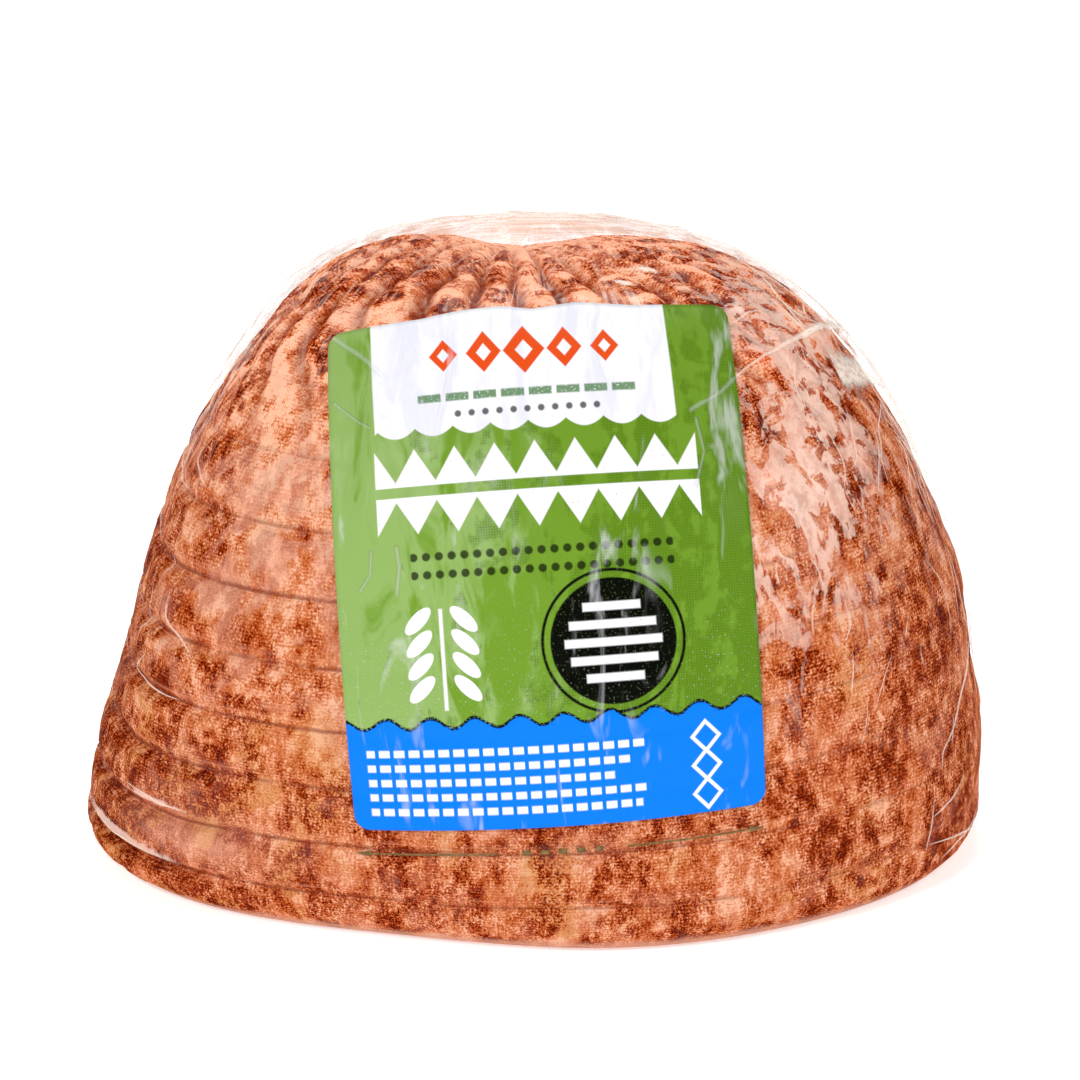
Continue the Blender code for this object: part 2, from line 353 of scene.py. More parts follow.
def skinNormal(turn, ring, step=0.004):
    side = netPoint(turn + step, ring) - netPoint(turn - step, ring)
    top = form["rings"] - 0.35
    upper = np.minimum(ring + step * form["rings"], top)
    lower = np.minimum(ring, top) - step * form["rings"]
    rise = netPoint(turn, upper) - netPoint(turn, np.maximum(lower, 0))
    return unit(np.cross(side, rise))


def netRelief(turn, ring):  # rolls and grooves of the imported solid, and apart from them its pleats
    left = 0.5 - 0.5 * np.cos(tau * turn)
    farLeft = smoothStep(np.cos(tau * (turn - 0.52)), 0.72, 0.98)
    lower = 1 - 0.75 * smoothStep(ring, 4.5, 8.0)
    fromGroove = np.abs(pastWhole(ring))
    lowest = 1 + farLeft * hill(ring - 1, 1)
    groove = form["ringDepth"] * (0.12 + 0.13 * left + 0.75 * farLeft) * lower * lowest
    groove = groove * hill(fromGroove, form["ringHalf"])
    swell = form["ribSwell"] * farLeft * lower * smoothStep(fromGroove, 0.03, 0.25)
    fromPleat = np.abs(pastWhole(turn * form["pleats"]))
    uneven = 0.75 + 0.25 * np.sin(turn * form["pleats"] * 2.4 + 1.3)
    room = np.clip((form["rings"] - ring) / 2.2, 0, 1)
    gather = smoothStep(ring, form["pleatFrom"], form["pleatFull"]) * room * uneven
    pleat = form["pleatDepth"] * gather * hill(fromPleat, form["pleatHalf"])
    dimple = form["poleDimple"] * hill(form["rings"] - ring, form["dimpleRings"])
    inside = smoothStep(ring, 0, 0.5)
    return (swell - groove) * inside, (pleat + dimple) * inside


def foldRelief(turn, ring):  # folds of spare film
    spacing = np.array([tau * form["halfDepth"], form["ringPitch"]])  # metres in a turn and in a ring
    total = np.zeros(len(turn))
    for start, end, height, half in form["folds"]:
        along = np.array([pastWhole(end[0] - start[0]), end[1] - start[1]]) * spacing
        here = np.stack([pastWhole(turn - start[0]), ring - start[1]], axis=1) * spacing
        share = np.clip(here @ along / (along @ along), 0, 1)
        away = np.linalg.norm(here - share[:, None] * along, axis=1)
        taper = 0.35 + 0.65 * np.sin(math.pi * np.clip(share, 0.08, 0.92))
        total = np.maximum(total, height * taper * hill(away, half))
    return total


def underFoot(points, net):  # rows of points from the foot's rim to its middle, and their places on the net
    middle = points.mean(axis=0)
    base, baseNet = [], []
    for i in range(1, skin["baseRows"] + 1):
        inward = i / (skin["baseRows"] + 1)
        base.append(points * (1 - inward) + middle * inward)
        baseNet.append(net * (1 - inward, 1 - inward, 0) - (0, 0, inward))
    return np.concatenate([*base, middle[None]]), np.concatenate([*baseNet, [[0.001, 0.0, -1.0]]])


def skinFaces(columns, rows):  # quads, and triangles at the gathered end and at the foot's middle
    here = np.arange(columns)
    after = (here + 1) % columns
    pole = rows * columns
    faces = []
    for low in range(0, pole - columns, columns):
        high = low + columns
        faces += np.stack([low + here, low + after, high + after, high + here], axis=1).tolist()
    faces += [[pole - columns + i, pole - columns + j, pole] for i, j in zip(here, after)]
    outer = 0
    for inner in range(pole + 1, pole + 1 + skin["baseRows"] * columns, columns):
        faces += np.stack([outer + after, outer + here, inner + here, inner + after], axis=1).tolist()
        outer = inner
    return faces + [[outer + j, outer + i, outer + columns] for i, j in zip(here, after)]


# The smooth skin as a fine closed mesh. Its attributes tell the trees and the materials where they are.
def makeSkin():
    columns, rows = skin["columns"], form["rings"] * skin["rowsPerRing"]
    turn = np.append(np.tile(np.arange(columns) / columns, rows), 0.0)
    ring = np.append(np.repeat(np.arange(rows) / skin["rowsPerRing"], columns), float(form["rings"]))
    points, out = netPoint(turn, ring), skinNormal(turn, ring)
    out[-1] = out[-columns - 1:-1].mean(axis=0)  # the pole points the way its neighbours do
    rolls, gathers = netRelief(turn, ring)
    folds = foldRelief(turn, ring)
    shown = points + out * (rolls - gathers + folds)[:, None]
    low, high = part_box("sealed_ham")
    shift = [(low[i] + high[i] - shown[:, i].min() - shown[:, i].max()) / 2 for i in (0, 1)]
    shift = np.array([*shift, 0.0])
    foot = np.arange(columns)
    points[foot, 2] = 0
    out[foot] = out[foot] * (1, 1, 0) + (0, 0, -1)  # the rim moves in and up together
    share = 1 - ring / form["rings"]
    net = np.stack([share * np.cos(tau * turn), share * np.sin(tau * turn), ring], axis=1)
    base, baseNet = underFoot(points[foot], net[foot])
    mesh = bpy.data.meshes.new("netted skin")
    mesh.from_pydata((np.concatenate([points, base]) + shift).tolist(), [], skinFaces(columns, rows))
    flat = np.zeros(len(base))
    for name, values, under in (
        ("net", net, baseNet),
        ("fan", fanPlace(turn, ring), np.tile((1.0, 0.0, 0.0), (len(base), 1))),
        ("out", out, np.tile((0.0, 0.0, -1.0), (len(base), 1))),
        ("rolls", rolls, flat),
        ("gathers", gathers, flat),
        ("folds", folds, flat),
    ):
        kind, field = ("FLOAT", "value") if values.ndim == 1 else ("FLOAT_VECTOR", "vector")
        values = np.concatenate([values, under]).astype(np.float32)
        mesh.attributes.new(name, kind, "POINT").data.foreach_set(field, values.ravel())
    mesh.shade_smooth()
    return mesh, shift


# The meat: rolls with sharp creases between them, blocks at the left, and lobes round a gathered end
meat = {
    "under film": 0.0004,
    "crease depth": 0.0007,
    "block depth": 0.0014,
    "furrow depth": 0.0027,
    "top tent": 0.0052,
    "side tent": 0.0032,
    "notch depth": 0.0020,
    "gather depth": 0.0035,
    "lump height": 0.0007,
}
film = {
    "clearance": 0.00022,
    "wrinkle height": 0.00035,
}
lobes = {"count": 32.0, "stray": 1.6, "lean": 0.22}  # lean is in furrows for each ring
hollows = {  # middle across and along, half sizes, both in metres, and the rings that they grow over
    "top": ((0.009, 0.020), (0.043, 0.060), (8.0, 11.2)),
    "notch": ((-0.007, 0.020), (0.015, 0.050), (9.0, 11.5)),
}
spots = {  # places on the net: the middle in turns and rings, then half sizes
    "slack at the right": (-0.01, 8.2, 0.07, 1.8),
    "slack at the left": (0.47, 9.0, 0.055, 1.7),
    "knot": (-0.188, 11.75, 0.02, 0.35),
    "pale side": (0.62, 6.4, 0.065, 2.2),
    "pale patch": (-0.395, 1.75, 0.03, 0.5),
    "haze at the right": (0.0, 6.8, 0.052, 2.5),
    "haze at the back": (0.31, 6.0, 0.09, 2.6),
    "haze on the shoulder": (-0.04, 9.6, 0.10, 1.5),
    "stretched patch": (-0.413, 2.22, 0.018, 0.07),
}


def leftness(turn):  # 1 at the ham's left, 0 at its right
    return 0.5 - 0.5 * (turn * tau).cosine()


def nearTurn(turn, centre, half):
    return (((turn - centre) * math.pi).sine() / math.pi).bell(half)


def nearSpot(name, turn, ring):
    turnAt, ringAt, halfTurn, halfRing = spots[name]
    return nearTurn(turn, turnAt, halfTurn) * (ring - ringAt).bell(halfRing)


def inHollow(name, place, ring):
    (x, y), halves, rings = hollows[name]
    return (place[0] - x).bell(halves[0]) * (place[1] - y).bell(halves[1]) * ring.smooth(*rings)


def fromWhole(value):  # distance from the nearest whole number
    return abs((value + 0.5).fraction() - 0.5)


def lobePhase(g):  # whole numbers in the furrows between the lobes that fan out from the gathered end
    turn, ring = g.lobes()
    place = g.add("GeometryNodeInputPosition")
    return turn * lobes["count"] + lobes["stray"] * (g.noise(place, 24.0, 2.0) - 0.5) + lobes["lean"] * ring


def furrows(g, half):  # half is half a furrow's width as a share of a lobe's
    _, ring = g.lobes()
    place = g.add("GeometryNodeInputPosition")
    deep = g.noise(place, 34.0, 1.0).smooth(0.2, 0.5)
    room = ((form["rings"] - 0.4 - ring) / 2.2).clamped() * ring.smooth(5.8, 9.0)
    return fromWhole(lobePhase(g)).bell(half) * deep * room


def meatLift(g, size):  # how far the meat stands out from the smooth skin
    turn, ring = g.net()
    place = g.add("GeometryNodeInputPosition")
    left = leftness(turn)
    fromRing = fromWhole(ring)
    slow = g.noise(place, 34.0, 1.0)
    patchy = g.noise(place, 75.0, 1.0)
    lower = 1 - 0.7 * ring.smooth(6.0, 9.5)
    sharp = 0.7 * fromRing.bell(0.06) + 0.3 * fromRing.bell(0.14)
    crease = size["crease depth"] * (0.16 + 0.84 * left) * lower * sharp * patchy.smooth(0.2, 0.62)
    edge = 0.25 + 0.75 * nearTurn(turn, -0.47, 0.05)
    fromColumn = fromWhole(turn * form["pleats"])
    block = size["block depth"] * fromColumn.bell(0.09) * edge * lower * slow.smooth(0.3, 0.6)
    furrow = size["furrow depth"] * furrows(g, 0.17)
    slackLeft = 0.7 * nearSpot("slack at the left", turn, ring)
    overSides = nearSpot("slack at the right", turn, ring).most(slackLeft)
    xyz = g.split(place)
    overTop = size["top tent"] * inHollow("top", xyz, ring) + size["side tent"] * overSides
    tent = overTop + size["notch depth"] * inHollow("notch", xyz, ring)
    dimple = size["gather depth"] * (form["rings"] - g.lobes()[1]).bell(0.9)
    rough = size["lump height"] * ((g.noise(place, 110.0, 3.0, 0.6) - 0.5) * 2.0 - 0.35)
    carved = crease + block + furrow + tent + dimple - rough
    return g.attribute("rolls") - size["under film"] - carved * ring.smooth(0.0, 0.35)


def lobePatches(g, phase, smoke):  # 1 on lobes' stained lengths, which lie one after another along them
    _, along = g.lobes()
    along = along * 1.15 + 0.5 * g.chance(phase.floor(), 9.0) + 0.7 * (smoke - 0.5)
    crest = -(phase * tau).cosine()
    patch = crest.smooth(-0.5, 0.4) * g.chance(phase.floor(), along.floor())
    return patch * fromWhole(along).smooth(0.0, 0.2)


def blockPatches(g, place, turn, ring):  # stains of the blocks between the net's threads
    row = (ring + 0.12 * (g.noise(place, 0.09) - 0.5)).floor()
    column = turn * form["pleats"] + 0.35 * g.chance(row, 3.0) + 1.1 * (g.noise(place, 0.09, 2.0) - 0.5)
    cell = g.maths("FLOORED_MODULO", column.floor(), float(form["pleats"]))
    across = (column * tau).cosine().smooth(-0.35, 0.45)
    return across * (0.1 + 0.9 * g.chance(cell, row)) * (0.4 + 0.6 * fromWhole(ring).smooth(0.03, 0.16))


def meatMarks(g):  # stains, where the film and the net changed the colour, and painted shade along the lobes' furrows, each many vertices wide
    turn, ring = g.net()
    place = g.vector("SCALE", g.add("GeometryNodeInputPosition"), scale=1000.0)
    left = leftness(turn)
    sides = abs((turn * tau).cosine()).smooth(0.55, 0.97)
    high = ring.smooth(5.0, 9.5)
    paleSide = nearSpot("pale side", turn, ring)
    smoke = g.noise(place, 0.075, 3.0, 0.6, 0.4)
    streak = g.noise(drawnOut(g, place, 3.0), 0.24, 3.0, 0.6)
    spotted = g.noise(g.vector("MULTIPLY", place, (1.0, 1.0, 2.2)), 0.09, 2.0, 0.5).smooth(0.60, 0.68)
    patches = 0.44 * blockPatches(g, place, turn, ring)
    stain = 0.24 + patches + 1.9 * (smoke - 0.47) + 1.7 * (streak - 0.5)
    # darker towards the ham's left and right sides and near the foot, lighter high up
    stain = stain + 0.30 * sides + 0.07 * (1 - ring.smooth(0.5, 4.0)) - 0.16 * high
    stain = stain + 0.9 * nearSpot("knot", turn, ring)
    stain = stain + 1.4 * high * (lobePatches(g, lobePhase(g), smoke) - 0.24)
    stain = stain - 0.6 * spotted - 0.22 * paleSide + 0.14 * left * ring.smooth(5.5, 3.0)
    calm = (g.noise(place, 0.085, 3.0, 0.6, 0.8) + 0.07 * paleSide).smooth(0.52, 0.62)
    calm = calm * (0.22 + 0.55 * paleSide)
    golden = g.noise(place, 0.048, 2.0, 0.5, 0.8).smooth(0.54, 0.66)
    broken = g.noise(place, 0.10, 1.0).smooth(0.22, 0.52)
    fat = nearTurn(turn, -0.040, 0.016) + nearTurn(turn, -0.100, 0.012)
    return {
        "stain": stain.clamped(),
        "calm": calm.most(0.8 * nearSpot("pale patch", turn, ring)),
        "golden": golden * (1 - ring.smooth(2.5, 6.5)),
        "wander": 0.05 * (g.noise(place, 0.22, 2.0) - 0.5),
        "ring line": (0.35 + 0.65 * left) * (1 - 0.8 * ring.smooth(5.5, 9.0)) * broken,
        # painted shade: the furrows and the hollows beside them are darkened
        "furrow": furrows(g, 0.14),
        "valley": furrows(g, 0.27),
        "fat": fat.least(1.0) * (ring - 11.30).bell(0.24),
    }


def filmMarks(g):  # where the film hangs off the meat
    turn, ring = g.net()
    _, back, _ = g.split(g.add("GeometryNodeInputPosition"))
    aside = turn + 0.137 - 0.019 * (ring - 6.0).most(0.0)  # the haze at the right leans with height
    hung = nearSpot("haze at the right", aside, ring).most(0.8 * nearSpot("haze at the back", turn, ring))
    shoulder = nearSpot("haze on the shoulder", turn, ring)
    stretched = nearTurn(turn, -0.435, 0.032) * (ring - 1.26 + 2.5 * (turn + 0.435)).bell(0.14)
    return {
        "hung": 0.21 * hung + 0.15 * shoulder,
        "cover": 0.004 + 0.77 * hung + 0.50 * shoulder,
        "behind": back.smooth(0.030, 0.048) * ring.smooth(6.5, 8.5),
        "loose": union(
            ring.smooth(8.6, 11.0),
            nearTurn(turn, 0.0, 0.11) * ring.smooth(4.0, 6.5),
            nearTurn(turn, 0.47, 0.08) * ring.smooth(6.5, 8.5),
        ),
        "cream": ring.smooth(8.2, 10.5),
        "bridge": leftness(turn).smooth(0.75, 1.0) * (1 - ring.smooth(1.9, 2.6)),
        "stretched": stretched.most(0.8 * nearSpot("stretched patch", turn, ring)),
    }


def store(g, geometry, marks):
    for name, value in marks.items():
        sockets = {"Geometry": geometry, "Name": name, "Value": value}
        geometry = g.add("GeometryNodeStoreNamedAttribute", {"data_type": "FLOAT"}, sockets)
    return geometry


def newTree(name, sizes):  # a Geometry Nodes tree with one named number for each size
    tree = bpy.data.node_groups.new(name, "GeometryNodeTree")
    tree.interface.new_socket(name="Geometry", in_out="INPUT", socket_type="NodeSocketGeometry")
    for size, value in sizes.items():
        socket = tree.interface.new_socket(name=size, in_out="INPUT", socket_type="NodeSocketFloat")
        socket.default_value = value
    tree.interface.new_socket(name="Geometry", in_out="OUTPUT", socket_type="NodeSocketGeometry")
    g = Graph(tree)
    node = tree.nodes.new("NodeGroupInput")
    return g, {socket.name: Value(g, socket) for socket in node.outputs if socket.name}


def moveOut(g, geometry, lift):  # along the skin's normal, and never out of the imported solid's box
    offset = g.vector("SCALE", g.attribute("out", "FLOAT_VECTOR"), scale=lift)
    moved = g.add("GeometryNodeSetPosition", {}, {"Geometry": geometry, "Offset": offset})
    low, high = (tuple(corner) for corner in cadBox)
    place = g.vector("MINIMUM", g.vector("MAXIMUM", g.add("GeometryNodeInputPosition"), low), high)
    return g.add("GeometryNodeSetPosition", {}, {"Geometry": moved, "Position": place})


def endTree(g, geometry, materials):  # materials: (material, selection) pairs
    geometry = g.add("GeometryNodeRealizeInstances", {}, {"Geometry": geometry})
    for material, selection in materials:
        sockets = {"Geometry": geometry, "Material": material}
        if selection is not None:
            sockets["Selection"] = selection
        geometry = g.add("GeometryNodeSetMaterial", {}, sockets)
    g.add("NodeGroupOutput", {}, {0: geometry})


def meatTree(material, cutMaterial):
    g, size = newTree("meat under the net", meat)
    marked = store(g, size["Geometry"], meatMarks(g))
    geometry = moveOut(g, marked, meatLift(g, size))
    _, ring = g.net()
    cut = g.add("FunctionNodeCompare", {"operation": "LESS_THAN"}, {"A": ring, "B": 0.0})
    endTree(g, geometry, ((material, None), (cutMaterial, cut)))
    return g.tree


def filmTree(material):
    g, size = newTree("film round the meat", {**meat, **film})
    _, ring = g.net()
    place = g.add("GeometryNodeInputPosition")
    ridge = 1 - abs(g.noise(place, 26.0, 1.0, 0.4, 0.6) - 0.5).smooth(0.0, 0.035)
    loose = 0.25 + 0.75 * ring.smooth(7.0, 10.5)
    wrinkles = size["wrinkle height"] * loose * ridge * ring.smooth(0.0, 0.6)
    gathered = g.attribute("gathers") * (1 - 0.9 * ring.smooth(8.0, 10.0))
    own = g.attribute("rolls") - gathered + g.attribute("folds") + wrinkles
    below = meatLift(g, size)
    lift = own.most(below + size["clearance"])
    marks = filmMarks(g)
    marks["gap"] = (lift - below) * 1000.0
    geometry = moveOut(g, store(g, size["Geometry"], marks), lift)
    endTree(g, geometry, ((material, None),))
    return g.tree


def linked(name, data):  # a new object in the scene
    made = bpy.data.objects.new(name, data)
    bpy.context.scene.collection.objects.link(made)
    return made


def grow(name, mesh, tree, sizes):  # runs a tree on a copy of the mesh and keeps the result as a plain mesh
    piece = linked(name, mesh.copy())
    nodes = piece.modifiers.new("form", "NODES")
    nodes.node_group = tree
    for item in tree.interface.items_tree:
        if item.in_out == "INPUT" and item.name in sizes:
            nodes[item.identifier] = sizes[item.name]
    return settle(piece)


def settle(piece):  # modifiers become plain mesh, and place goes into the mesh
    graph = bpy.context.evaluated_depsgraph_get()
    shown = piece.evaluated_get(graph)
    mesh = bpy.data.meshes.new_from_object(shown, preserve_all_data_layers=True, depsgraph=graph)
    piece.modifiers.clear()
    piece.data = mesh
    mesh.name = piece.name
    mesh.transform(piece.matrix_world)
    piece.matrix_world = Matrix.Identity(4)
    return piece


# Finishes
smoked = {
    "fat": paint(234, 178, 146),
    "light": paint(226, 152, 114),
    "peach": paint(208, 124, 82),
    "tan": paint(190, 97, 49),
    "brown": paint(167, 66, 17),
    "dark": paint(130, 30, 0),
    "black": paint(82, 14, 0),
    "mauve": paint(180, 124, 110),
    "pink": paint(234, 176, 152),
    "ochre": paint(204, 142, 78),
    "crease": paint(124, 46, 28),
    # painted shade: the dark laid into the lobes' furrows
    "furrow": paint(104, 28, 8),
    "white fat": paint(244, 226, 212),
    "foot": paint(206, 158, 134),
    "tones": (  # where each comes on the way from pale to dark
        (0.0, "fat"), (0.07, "light"), (0.22, "peach"), (0.40, "tan"), (0.56, "brown"), (0.76, "dark"),
        (1.0, "black"),
    ),
    "threads in a ring": 18,
    "threads in a turn": 620,
}


def newMaterial(name):
    material = bpy.data.materials.new(name)
    material.use_nodes = True
    material.node_tree.nodes.clear()
    return material, Graph(material.node_tree)


def finish(g, sockets):  # one Principled shader
    shader = g.add("ShaderNodeBsdfPrincipled", {}, sockets)
    g.add("ShaderNodeOutputMaterial", {}, {"Surface": shader})


def objectMillimetres(g):
    place = g.add("ShaderNodeTexCoord", {}, {}, "Object")
    return g.vector("SCALE", place, scale=1000.0)


def drawnOut(g, place, stretch):  # texture places that draw spots out upwards
    return g.vector("MULTIPLY", place, (1.0, 1.0, 1.0 / stretch))


def meatMaterial():
    material, g = newMaterial("smoked meat")
    turn, ring = g.net()
    stain, calm = g.attribute("stain"), g.attribute("calm")
    place = objectMillimetres(g)

    # fine speckle in rows, as the net's threads left it
    speck = g.noise(place, 1.9, 2.0, 0.75)
    grit = g.noise(drawnOut(g, place, 1.7), 0.36, 4.0, 0.68)
    rows = (ring * (tau * smoked["threads in a ring"]) + 5.0 * grit).sine()
    posts = (turn * (tau * smoked["threads in a turn"]) + 5.0 * grit).sine()
    plain = 1 - 0.55 * calm
    high = ring.smooth(6.5, 10.0)
    fanned = g.noise(g.fan(12.0, 1.6), 1.0, 3.0, 0.62, 1.0)
    drawn = high * (1 - (ring - 10.6).smooth(0.0, 1.6))
    rough = 1.6 * (1 - 0.1 * high) * (grit - 0.5) + 1.5 * drawn * (fanned - 0.5)
    rough = rough + (2.0 - 0.5 * high) * (speck - 0.5)
    rough = rough + 0.065 * rows + 0.035 * posts
    dense = stain.smooth(0.20, 0.75)
    mottle = g.noise(drawnOut(g, place, 1.4), 0.15, 3.0, 0.6)
    tone = 0.10 + 0.62 * stain * plain + (0.68 + 0.77 * dense + 0.60 * high) * rough * plain
    # painted shade beside the lobes' furrows, and painted light: the tone paler high up, where less lamp
    # light reaches the top
    tone = tone + 0.60 * g.attribute("valley") + 0.9 * plain * (mottle - 0.5) - high * (0.35 - 0.29 * stain)
    stops = [(share, smoked[name]) for share, name in smoked["tones"]]
    colour = g.add("ShaderNodeValToRGB", {"stops": stops}, {"Fac": tone})
    bruised = g.noise(drawnOut(g, place, 1.6), 0.20, 4.0, 0.7).smooth(0.58, 0.47)
    golden = 0.45 * g.attribute("golden") * tone.smooth(0.55, 0.30)

    # the lines that the net's rings left, each with a pale band just above it, painted shade in the furrows
    # of the gathered end, and fat in the furrows
    ringed, drawnLine = ring + g.attribute("wander"), g.attribute("ring line")
    line = fromWhole(ringed).smooth(0.055, 0.012) * drawnLine
    beside = (ringed - 0.1).fraction().smooth(0.10, 0.02) * drawnLine
    fatty = (g.attribute("fat") + 2.0 * (grit - 0.5)).smooth(0.35, 0.85)
    colour = g.coats(
        colour,
        (0.62 * calm, g.blend(bruised, smoked["pink"], smoked["mauve"])),
        (golden, smoked["ochre"]),
        (0.30 * beside, smoked["light"]),
        (0.75 * line, smoked["crease"]),
        # painted shade: the furrows of the gathered end darkened
        (0.85 * g.attribute("furrow"), smoked["furrow"]),
        (0.85 * fatty, smoked["white fat"]),
        (0.7 * ring.smooth(0.34, 0.10), smoked["foot"]),
    )
    # painted light: the colour brightened high up, where less lamp light reaches the top
    colour = g.vector("SCALE", colour, scale=1 + 0.30 * high)
    finish(g, {"Base Color": colour, "Roughness": 0.42 + 0.25 * speck, "Specular IOR Level": 0.0})
    return material


cutFace = {
    "lean": paint(226, 150, 138),
    "deep": paint(206, 120, 106),
    "seam": paint(244, 210, 192),
    "smoked rim": paint(132, 62, 34),
    "rim width": 0.028,
}


def cutMaterial():
    material, g = newMaterial("cut ham")
    place = objectMillimetres(g)
    _, ring = g.net()
    drift = g.add("ShaderNodeTexNoise", {}, {"Vector": place, "Scale": 0.04}, 1)
    bent = g.vector("ADD", place, g.vector("SCALE", drift, scale=22.0))
    muscle = g.add("ShaderNodeTexVoronoi", {"feature": "DISTANCE_TO_EDGE"}, {"Vector": bent, "Scale": 0.022})
    shown = 0.2 + 0.8 * g.noise(place, 0.035, 3.0, 0.6).smooth(0.42, 0.58)
    seam = muscle.smooth(0.030, 0.003) * shown
    grain = g.noise(g.vector("MULTIPLY", bent, (1.0, 0.35, 1.0)), 0.9, 4.0, 0.6)
    uneven = 0.02 * (g.noise(place, 0.3) - 0.5)
    rim = 1 - (uneven - ring).smooth(0.2 * cutFace["rim width"], cutFace["rim width"])
    colour = g.coats(
        cutFace["lean"],
        (g.noise(place, 0.05, 3.0).smooth(0.35, 0.68), cutFace["deep"]),
        (0.35 * grain.smooth(0.45, 0.7), cutFace["seam"]),
        (0.75 * seam, cutFace["seam"]),
        (rim, cutFace["smoked rim"]),
    )
    dents = {"Strength": 0.35, "Distance": 0.0004, "Height": grain - 0.5 * seam}
    normal = g.add("ShaderNodeBump", {}, dents)
    finish(g, {"Base Color": colour, "Roughness": 0.3 + 0.2 * grain, "Normal": normal})
    return material


clear = {
    "milk": paint(248, 206, 186),
    "cream": paint(255, 251, 224),
    "crease and glint white": paint(255, 247, 234),
    "mirror": (1.0, 1.0, 1.0, 1.0),
    "gloss": 0.005,
    "edge gloss": 0.02,
}


def filmMaterial():
    material, g = newMaterial("clear film")
    millimetres = objectMillimetres(g)
    upward = drawnOut(g, millimetres, 3.2)
    cream = g.attribute("cream")
    _, ring = g.net()

    # milky where the film is off the meat, in feathery patches
    feather = g.noise(upward, 0.11, 3.0, 0.62, 1.2)
    fibres = g.noise(upward, 0.42, 3.0, 0.68)
    patch = (feather + g.attribute("hung") + 0.28 * (fibres - 0.5) - 0.12).smooth(0.47, 0.55)
    touch = (g.noise(upward, 0.19, 3.0, 0.6, 0.7) + 0.25 * (fibres - 0.5)).smooth(0.535, 0.575)
    patch = patch * (1 - 0.9 * touch) * g.attribute("cover") * (0.78 + 0.44 * fibres.smooth(0.36, 0.60))
    lifted = g.attribute("gap").smooth(1.2, 3.0)
    bridged = lifted * (0.03 * cream * fibres.smooth(0.4, 0.7) + 0.35 * g.attribute("bridge"))
    facing = g.add("ShaderNodeLayerWeight", {}, {"Blend": 0.5}, "Facing")
    behind = g.attribute("behind") * facing.smooth(0.12, 0.42) * (0.6 + 0.4 * feather.smooth(0.38, 0.56))
    rim = (facing.smooth(0.76, 0.94) * g.attribute("loose")).most(behind)

    # painted highlights: pale streaks that fan out from the gathered end
    fanned = g.noise(g.fan(8.0, 0.35), 1.0, 3.0, 0.6, 0.5)
    ridges = abs(fanned - 0.47).smooth(0.040, 0.0).most(0.8 * abs(fanned - 0.58).smooth(0.026, 0.0))
    glintStreaks = ridges * cream.most(g.attribute("loose")) * feather.smooth(0.38, 0.52)
    sweep = g.noise(g.vector("MULTIPLY", millimetres, (0.03, 0.5, 0.9)), 1.0, 3.0, 0.6)
    haze = union(
        patch,
        bridged,
        (0.54 - 0.14 * cream) * glintStreaks,
        rim * (0.42 + 0.32 * sweep.smooth(0.40, 0.60)),
        0.14 * cream * (fanned + 0.5 * (feather - 0.5)).smooth(0.54, 0.64),
        0.5 * facing.smooth(0.91, 0.985),
        0.22 * (ring - 12.7).bell(0.8) * fibres.smooth(0.3, 0.6),
        0.62 * (g.attribute("stretched") + 0.9 * (fibres - 0.5)).smooth(0.30, 0.62),
    )

    gloss = clear["gloss"] + clear["edge gloss"] * facing ** 4.0
    cover = haze + gloss * (1 - haze)
    metal = gloss * (1 - haze) / cover
    colour = g.coats(clear["milk"], (rim, clear["cream"]), (metal, clear["mirror"]))
    sockets = {"Base Color": colour, "Metallic": metal, "Roughness": 0.14 + 0.25 * haze}
    shader = g.add("ShaderNodeBsdfPrincipled", {}, sockets)
    seeThrough = g.add("ShaderNodeBsdfTransparent")
    mixed = g.add("ShaderNodeMixShader", {}, {"Fac": cover, 1: seeThrough, 2: shader})
    g.add("ShaderNodeOutputMaterial", {}, {"Surface": mixed})
    return material
